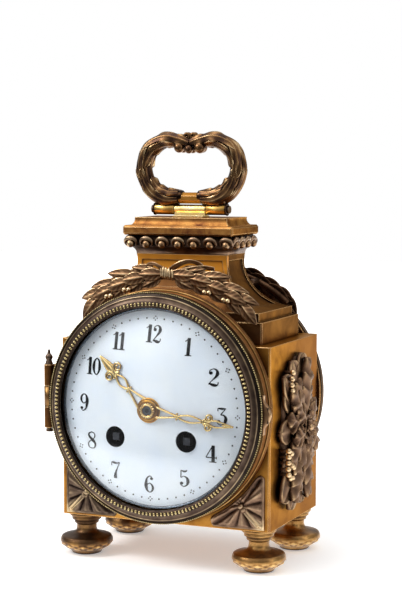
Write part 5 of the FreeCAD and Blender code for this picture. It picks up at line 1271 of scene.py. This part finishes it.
flower_y, flower_up = 2.5, 0.5
for k in range(6):
    a = math.radians(60 * k + 12)
    mount_leaf(flower_y + 0.8 * math.sin(a), flower_up + 0.8 * math.cos(a), 60 * k + 12, 6.8, 6.8, 5.2,
               "petal", lean=14, curl=-0.28)
for k in range(5):
    mount_leaf(flower_y, flower_up, 72 * k + 40, 4.2, 4.2, 5.7, "petal", lean=24, curl=-0.2)
mount_berries = Casting()
strings = [
    [(-13.6, 26.6), (-14.6, 24.0), (-15.0, 21.4), (-14.4, 18.9), (-13.2, 16.8)],
    [(-18.4, -7.0), (-18.4, -9.6), (-18.6, -12.2), (-18.8, -14.8), (-18.4, -17.4), (-16.2, -19.3),
     (-13.8, -19.6), (-11.8, -17.8), (-12.6, -15.2), (-14.6, -14.0)],
    [(-15.2, -8.6)],
]
for string in strings:
    for y, up in string:
        mount_berries.add(*ball((case_side + 4.2, y, mount_z + up), 1.3), 0.9)
        peg = [(case_side + 4.1, y, mount_z + up), (case_side + 0.4, y, mount_z + up)]
        mount.add(*tube(peg, 0.8, 6), 0.2)
mount_berries.add(*ball((case_side + 6.6, flower_y, mount_z + flower_up), 1.6), 0.8)
for name, mirror in (("side_mount_right", (1, 1, 1)), ("side_mount_left", (-1, 1, 1))):
    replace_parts(mount.pour(name + "_leaves", mount_patina, "case", "gilt_bronze", mirror), name)
    mount_berries.pour(name + "_berries", patina, "case", "gilt_bronze", mirror)

# %% [markdown]
# ## The spandrels
# A palmette fills each lower corner of the front. Its outline is two straight arms along the case edges
# and an arc beside the drum. Petals fan out from a knob at the arc towards the corner, and a double rib
# runs down the middle. The relief is one height over a fan of points, so each rule is a line of sums.

# %% Outline and relief of a palmette
corner_x, _, _ = span("spandrel_right")[1]
_, _, corner_z = span("spandrel_right")[0]
arc_radius, arm_length, tip_soft = 52.2, 24.8, 0.9
fan_steps, out_steps = 91, 41
fan = np.radians(np.linspace(90, 180, fan_steps))[None, :]
axis_up = dial_z - corner_z
to_axis = -np.cos(fan) * corner_x + np.sin(fan) * axis_up
arc = to_axis - np.sqrt(to_axis ** 2 - (corner_x ** 2 + axis_up ** 2 - arc_radius ** 2))
arm = arm_length + 0.7 * (fan - np.pi / 2)
tip_round = 2.2 * (np.exp(-np.degrees(fan - np.pi / 2) / 3.5) + np.exp(-np.degrees(np.pi - fan) / 3.5))
rim = -np.log(np.exp(-arc / tip_soft) + np.exp(-arm / tip_soft)) * tip_soft - tip_round
away = np.linspace(0, 1, out_steps)[:, None] * rim
right = corner_x + away * np.cos(fan)
high = corner_z + away * np.sin(fan)
knob_x, knob_z = 37.2, 29.6
knob_angle = np.arctan2(high - knob_z, right - knob_x) + np.pi / 4
from_knob = np.hypot(right - knob_x, high - knob_z)
petals = np.abs(np.cos(4.5 * knob_angle)) ** 0.6
petals = petals + 0.16 * np.cos(27 * knob_angle) * np.clip(from_knob / 9, 0, 1)
inset = np.minimum(np.minimum(corner_x - right, high - corner_z), (rim - away) * 1.1)
border = np.exp(-((inset - 0.55) / 0.55) ** 2)
off_middle = np.abs((right - knob_x) + (high - knob_z)) / math.sqrt(2)
towards_corner = (right > knob_x) & (high < knob_z)
double_rib = np.where(towards_corner, np.exp(-((off_middle - 0.75) / 0.42) ** 2), 0.0)
field = np.clip((inset - 1.0) / 0.8, 0, 1)
relief = 0.55 + 0.45 * border + field * (1.25 * petals - 0.35) * np.clip(from_knob / 3, 0, 1)
relief = (relief + 0.8 * double_rib * field) * np.clip(inset / 0.25, 0, 1) ** 0.5
palmette_wear = 0.40 + 0.20 * border + field * 0.55 * (petals - 0.60) + 0.40 * double_rib
palmette_wear = palmette_wear + 0.5 * np.exp(-(away / 4.5) ** 2)
print("palmette", round(float(relief.max()), 2), "mm high at most")

# %% [markdown]
# ## The two palmettes
# The relief stands on the front of the case, closed behind, with two small balls at its knob. The left
# one is the mirror image and is darker: painted shade.

# %% Spandrel palmettes
palmette_y = case_front - 0.05
top = np.stack([right, palmette_y - relief, high], -1)
low = np.stack([right, np.full(relief.shape, palmette_y + 0.25), high], -1)
points, faces = closed_sheet(top, low, out_steps, fan_steps)
spandrel = Casting()
spandrel.add(points, turned_over(faces), np.concatenate([palmette_wear.ravel(), np.full(relief.size, 0.1)]))
for to_corner, radius in ((0.0, 1.35), (2.0, 1.05)):
    spandrel.add(*ball((knob_x + to_corner * 0.7, palmette_y - 1.5, knob_z - to_corner * 0.7), radius), 0.7)
# The left palmette is darker: painted shade.
for name, finish, mirror in (("spandrel_right", grey_patina, (1, 1, 1)),
                             ("spandrel_left", dark_patina_and_shade, (-1, 1, 1))):
    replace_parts(spandrel.pour(name + "_palmette", finish, "case", "gilt_bronze", mirror), name)

# %% [markdown]
# ## The feet
# The feet are turned, then chased: leaf lozenges cover the lower half of the bulge. The profile is given
# in shares of the foot's radius and height, smooth over the bulge and stepped above it, and two crossing
# waves cut the lozenges into it. The left feet are darker: painted shade.

# %% Turned and chased feet
foot_low, foot_high = span("foot_front_right")
foot_radius, foot_height = 0.5 * (foot_high - foot_low)[0], foot_high[2]
foot_base = [(0.0, 0.0), (0.50, 0.0), (0.555, 0.012), (0.60, 0.06)]
foot_bulge = [(0.63, 0.085), (0.87, 0.18), (0.97, 0.25), (1.0, 0.315), (0.97, 0.385), (0.90, 0.43),
              (0.62, 0.475), (0.47, 0.51)]
foot_neck = [(0.40, 0.56), (0.378, 0.62), (0.378, 0.70), (0.39, 0.73), (0.45, 0.738), (0.465, 0.75),
             (0.465, 0.80), (0.455, 0.81), (0.52, 0.82), (0.55, 0.835), (0.56, 0.89), (0.545, 0.90),
             (0.60, 0.915), (0.64, 0.94), (0.64, 0.99), (0.62, 1.0)]
foot_line = np.vstack([foot_base, smooth_line(foot_bulge, 64), foot_neck])
foot_share = foot_line[:, 1:]
segments = 96
turn = 2 * np.pi * np.arange(segments)[None, :] / segments
chased_zone = np.exp(-((foot_share - 0.20) / 0.085) ** 4)
slant = 22 * foot_share
chased = np.abs(np.sin(5 * turn + slant)) * np.abs(np.sin(5 * turn - slant)) + 0.22 * np.cos(30 * turn)
foot_r = foot_radius * foot_line[:, :1] + chased_zone * 0.55 * (chased - 0.45)
rubbed_at = np.array([0.0, 0.06, 0.2, 0.30, 0.40, 0.47, 0.52, 0.6, 0.72, 0.8, 0.9, 1.0])
rubbed = [0.40, 0.66, 0.76, 0.64, 0.56, 0.48, 0.5, 0.64, 0.62, 0.45, 0.68, 0.55]
foot_wear = np.interp(foot_share, rubbed_at, rubbed) + chased_zone * 0.6 * (chased - 0.35)
foot_faces = grid_faces(len(foot_line), segments, around_cols=True)
foot_faces += [tuple(range(segments - 1, -1, -1))]
foot_faces += [tuple(range((len(foot_line) - 1) * segments, len(foot_line) * segments))]
for name in ("foot_front_left", "foot_front_right", "foot_rear_left", "foot_rear_right"):
    foot_x, foot_y, _ = middle(name)
    points = np.stack([foot_x + foot_r * np.cos(turn), foot_y + foot_r * np.sin(turn),
                       foot_height * foot_share + 0 * turn], -1)
    foot = Casting()
    # The left feet's wear is lowered, which paints them darker: painted shade.
    foot.add(points, turned_over(foot_faces), foot_wear - 0.2 * (foot_x < 0))
    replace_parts(foot.pour(name + "_chased", orange_patina, "case", "gilt_bronze"), name)

# %% [markdown]
# ## The cornice
# Under the slab runs a row of small hoods with a bead in each, over a cavetto that sweeps out from the
# neck. The cavetto is a stack of rectangles along a quarter ellipse. A hood is a bent bar that thins out
# towards its two ends. There are seven on the front and on the back, and four on each side.

# %% Hooded beads of the cornice
bead_half = neck_half + 2.8
neck_top = span("cornice")[0][2]
slab_low = span("top_slab")[0][2]
bead_low = slab_low - 5.2


def add_stack(casting, levels, wear):
    """A moulding round a rectangle: (half width, half depth, z) at each level, from below upwards."""
    rows = np.array([[(-w, -d, z), (w, -d, z), (w, d, z), (-w, d, z)] for w, d, z in levels])
    faces = grid_faces(len(rows), 4, around_cols=True)
    faces += [(0, 1, 2, 3), tuple(4 * len(rows) - 4 + i for i in (3, 2, 1, 0))]
    casting.add(rows.reshape(-1, 3), turned_over(faces), np.repeat(wear, 4))


cornice = Casting()
cavetto = np.radians(np.linspace(0, 90, 9))
levels = [(*(neck_half + (bead_half - neck_half) * (1 - math.cos(a))),
           neck_top + (bead_low - neck_top) * math.sin(a)) for a in cavetto]
levels += [(*bead_half, bead_low + 0.2), (*bead_half, slab_low)]
# Wear falls from the neck up the cavetto. The band behind the hoods is darkest: painted shade.
add_stack(cornice, levels, [0.6, 0.5, 0.42, 0.36, 0.32, 0.3, 0.3, 0.3, 0.28, 0.2, 0.12])
hood_places = [((x, s * bead_half[1]), (0, s)) for s in (-1, 1) for x in (np.arange(7) - 3) * 7.72]
hood_places += [((s * bead_half[0], y), (s, 0)) for s in (-1, 1) for y in (np.arange(4) - 1.5) * 6.75]
arch = np.radians(np.linspace(-38, 218, 25))
hood_sides = 12
hood_across, hood_up = 2.75 * np.cos(arch), 2.05 * np.sin(arch)
hood_out = 0.9 + 0.6 * np.sin(arch)
hood_girth = 0.60 + 0.46 * np.clip(np.sin(arch), -0.6, 1)
hood_wear = np.repeat(0.56 + 0.16 * np.sin(arch), hood_sides)
cornice_beads = Casting()
for (x, y), (nx, ny) in hood_places:
    hood = np.stack([x + nx * hood_out + abs(ny) * hood_across,
                     y + ny * hood_out + abs(nx) * 0.94 * hood_across, bead_low + 1.8 + hood_up], -1)
    cornice.add(*tube(hood, hood_girth, hood_sides), hood_wear)
    bead = (x + nx * 1.3, y + ny * 1.3, bead_low + 1.25)
    cornice_beads.add(*ball(bead, 1.68, 10, 16, (1, 1, 1.05)), 0.66)
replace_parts(cornice.pour("cornice_hoods", grey_patina, "case", "gilt_bronze"), "cornice")
cornice_beads.pour("cornice_beads", patina, "case", "gilt_bronze")

# %% [markdown]
# ## The floor
# The clock stands on a white studio sweep, which fades to pure white away from the clock and keeps its
# shadow near it. The table ends a little in front of the clock. The floor glows, but only for what looks
# straight at it and for reflections. Lengths are in metres from here on.

# %% Floor
def straight_look(tree, path):
    """1 for rays that come straight from the camera or through the glass, without a bounce between."""
    bounces = add(tree, "ShaderNodeMath", {0: path["Glossy Depth"], 1: path["Diffuse Depth"]})
    straight = add(tree, "ShaderNodeMath", {0: bounces.outputs[0], 1: 0.5}, operation="LESS_THAN")
    through = add(tree, "ShaderNodeMath", {0: path["Is Transmission Ray"], 1: straight.outputs[0]},
                  operation="MULTIPLY")
    seen = add(tree, "ShaderNodeMath", {0: path["Is Camera Ray"], 1: through.outputs[0]}, operation="MAXIMUM")
    return seen.outputs[0]


white = (1.0, 1.0, 1.0, 1.0)
floor_mesh = bpy.data.meshes.new("floor")
floor_mesh.from_pydata([(-2.5, -3, 0), (2.5, -3, 0), (2.5, 2, 0), (-2.5, 2, 0)], [], [(0, 1, 2, 3)])
floor = bpy.data.objects.new("floor", floor_mesh)
bpy.context.scene.collection.objects.link(floor)
paper, tree = new_finish("white studio sweep")
place = add(tree, "ShaderNodeTexCoord").outputs["Object"]
fleck = add(tree, "ShaderNodeTexNoise", {"Vector": place, "Scale": 8.0})
pale = add(tree, "ShaderNodeValToRGB", {"Fac": fleck.outputs["Fac"]})
ramp_stops(pale, [(0.0, "#F4F4F4"), (1.0, "#F7F7F7")])
from_clock = add(tree, "ShaderNodeVectorMath", {0: place}, operation="LENGTH")
glow = add(tree, "ShaderNodeMapRange", {"Value": from_clock.outputs["Value"], 1: 0.12, 2: 0.50, 3: 0.34})
spot = add(tree, "ShaderNodeSeparateXYZ", {0: place})
on_table = add(tree, "ShaderNodeMapRange", {"Value": spot.outputs["Y"], 1: -0.160, 2: -0.125})
path = add(tree, "ShaderNodeLightPath").outputs
mirrored = add(tree, "ShaderNodeMath", {0: path["Is Glossy Ray"], 1: 0.5}, operation="MULTIPLY")
bright = add(tree, "ShaderNodeMix", {0: mirrored.outputs[0], 2: glow.outputs[0], 3: 0.85}, data_type="FLOAT")
direct = straight_look(tree, path)
seen = add(tree, "ShaderNodeMath", {0: direct, 1: path["Is Glossy Ray"]}, operation="MAXIMUM")
lit = add(tree, "ShaderNodeMath", {0: bright.outputs[0], 1: seen.outputs[0]}, operation="MULTIPLY")
shader = add(tree, "ShaderNodeBsdfPrincipled", {"Base Color": pale.outputs["Color"], "Roughness": 0.9,
                                                "Emission Color": white, "Emission Strength": lit.outputs[0]})
nothing = add(tree, "ShaderNodeBsdfTransparent")
cut = add(tree, "ShaderNodeMixShader", {0: on_table.outputs[0], 1: nothing.outputs[0], 2: shader.outputs[0]})
add(tree, "ShaderNodeOutputMaterial", {"Surface": cut.outputs[0]})
floor_mesh.materials.append(paper)
print("floor 5 m wide")

# %% [markdown]
# ## The world
# The world is a white backdrop where the camera looks, and a dim room to everything else: paler behind
# the clock and overhead, with a pale board low on the left of the camera, which the flat gilt faces
# mirror, and a soft screen above it. Board and screen are round patches about a direction.

# %% World
room_level = 0.16
world = bpy.data.worlds.new("studio")
bpy.context.scene.world = world
world.use_nodes = True
tree = world.node_tree
tree.nodes.clear()
heading = add(tree, "ShaderNodeTexCoord").outputs["Generated"]
way = add(tree, "ShaderNodeSeparateXYZ", {0: heading})
behind = add(tree, "ShaderNodeMapRange", {"Value": way.outputs["Y"], 1: 0.05, 2: 0.60, 3: room_level,
                                          4: 0.54})
above = add(tree, "ShaderNodeMapRange", {"Value": way.outputs["Z"], 1: 0.28, 2: 0.72, 3: room_level})
room = add(tree, "ShaderNodeMath", {0: behind.outputs[0], 1: above.outputs[0]}, operation="MAXIMUM")
for direction, outer, inner, level in (((-0.422, -0.894, -0.150), 0.972, 0.995, 0.95),
                                       ((-0.446, -0.772, 0.454), 0.90, 0.975, 1.3)):
    nearness = add(tree, "ShaderNodeVectorMath", {0: heading, 1: direction}, operation="DOT_PRODUCT")
    patch = add(tree, "ShaderNodeMapRange", {"Value": nearness.outputs["Value"], 1: outer, 2: inner,
                                             3: room_level, 4: level})
    room = add(tree, "ShaderNodeMath", {0: room.outputs[0], 1: patch.outputs[0]}, operation="MAXIMUM")
direct = straight_look(tree, add(tree, "ShaderNodeLightPath").outputs)
strength = add(tree, "ShaderNodeMix", {0: direct, 2: room.outputs[0], 3: 1.0}, data_type="FLOAT")
backdrop = add(tree, "ShaderNodeBackground", {"Color": white, "Strength": strength.outputs[0]})
add(tree, "ShaderNodeOutputWorld", {"Surface": backdrop.outputs[0]})
print("white backdrop, dim room")

# %% [markdown]
# ## Lamps and camera
# The strongest lamp, high on the left, gives the shape, a weaker one fills from the right, and a third
# lights the top. All point at the middle of the clock. The camera stands about 23 degrees to the right
# of the front and looks a little down, as in the photograph.

# %% Lamps and camera
aim = Vector((0, 0, 0.09))


def soft_lamp(name, place, size, power):
    lamp = bpy.data.lights.new(name, "AREA")
    lamp.shape = "RECTANGLE"
    lamp.size, lamp.size_y = size
    lamp.energy = power
    stand = bpy.data.objects.new(name, lamp)
    stand.location = place
    stand.rotation_euler = (aim - Vector(place)).to_track_quat("-Z", "Y").to_euler()
    bpy.context.scene.collection.objects.link(stand)


soft_lamp("key", (-0.72, -0.50, 0.85), (0.4, 0.4), 6.8)
soft_lamp("fill", (0.95, -0.25, 0.40), (0.3, 0.6), 1.2)
soft_lamp("top", (-0.15, -0.10, 1.05), (0.5, 0.4), 2.2)

camera = bpy.data.cameras.new("camera")
camera.lens = 94.36
camera.sensor_width = 36.0
tripod = bpy.data.objects.new("camera", camera)
tripod.location = (0.2905, -0.6595, 0.1785)
tripod.rotation_euler = Vector((-0.3957, 0.9138, -0.0911)).to_track_quat("-Z", "Y").to_euler()
bpy.context.scene.collection.objects.link(tripod)
bpy.context.scene.camera = tripod
bpy.context.scene.view_settings.view_transform = "Standard"
print("three lamps and a camera", round(tripod.location.length, 2), "m from the clock")

# %% End of the scene
print("scene built")
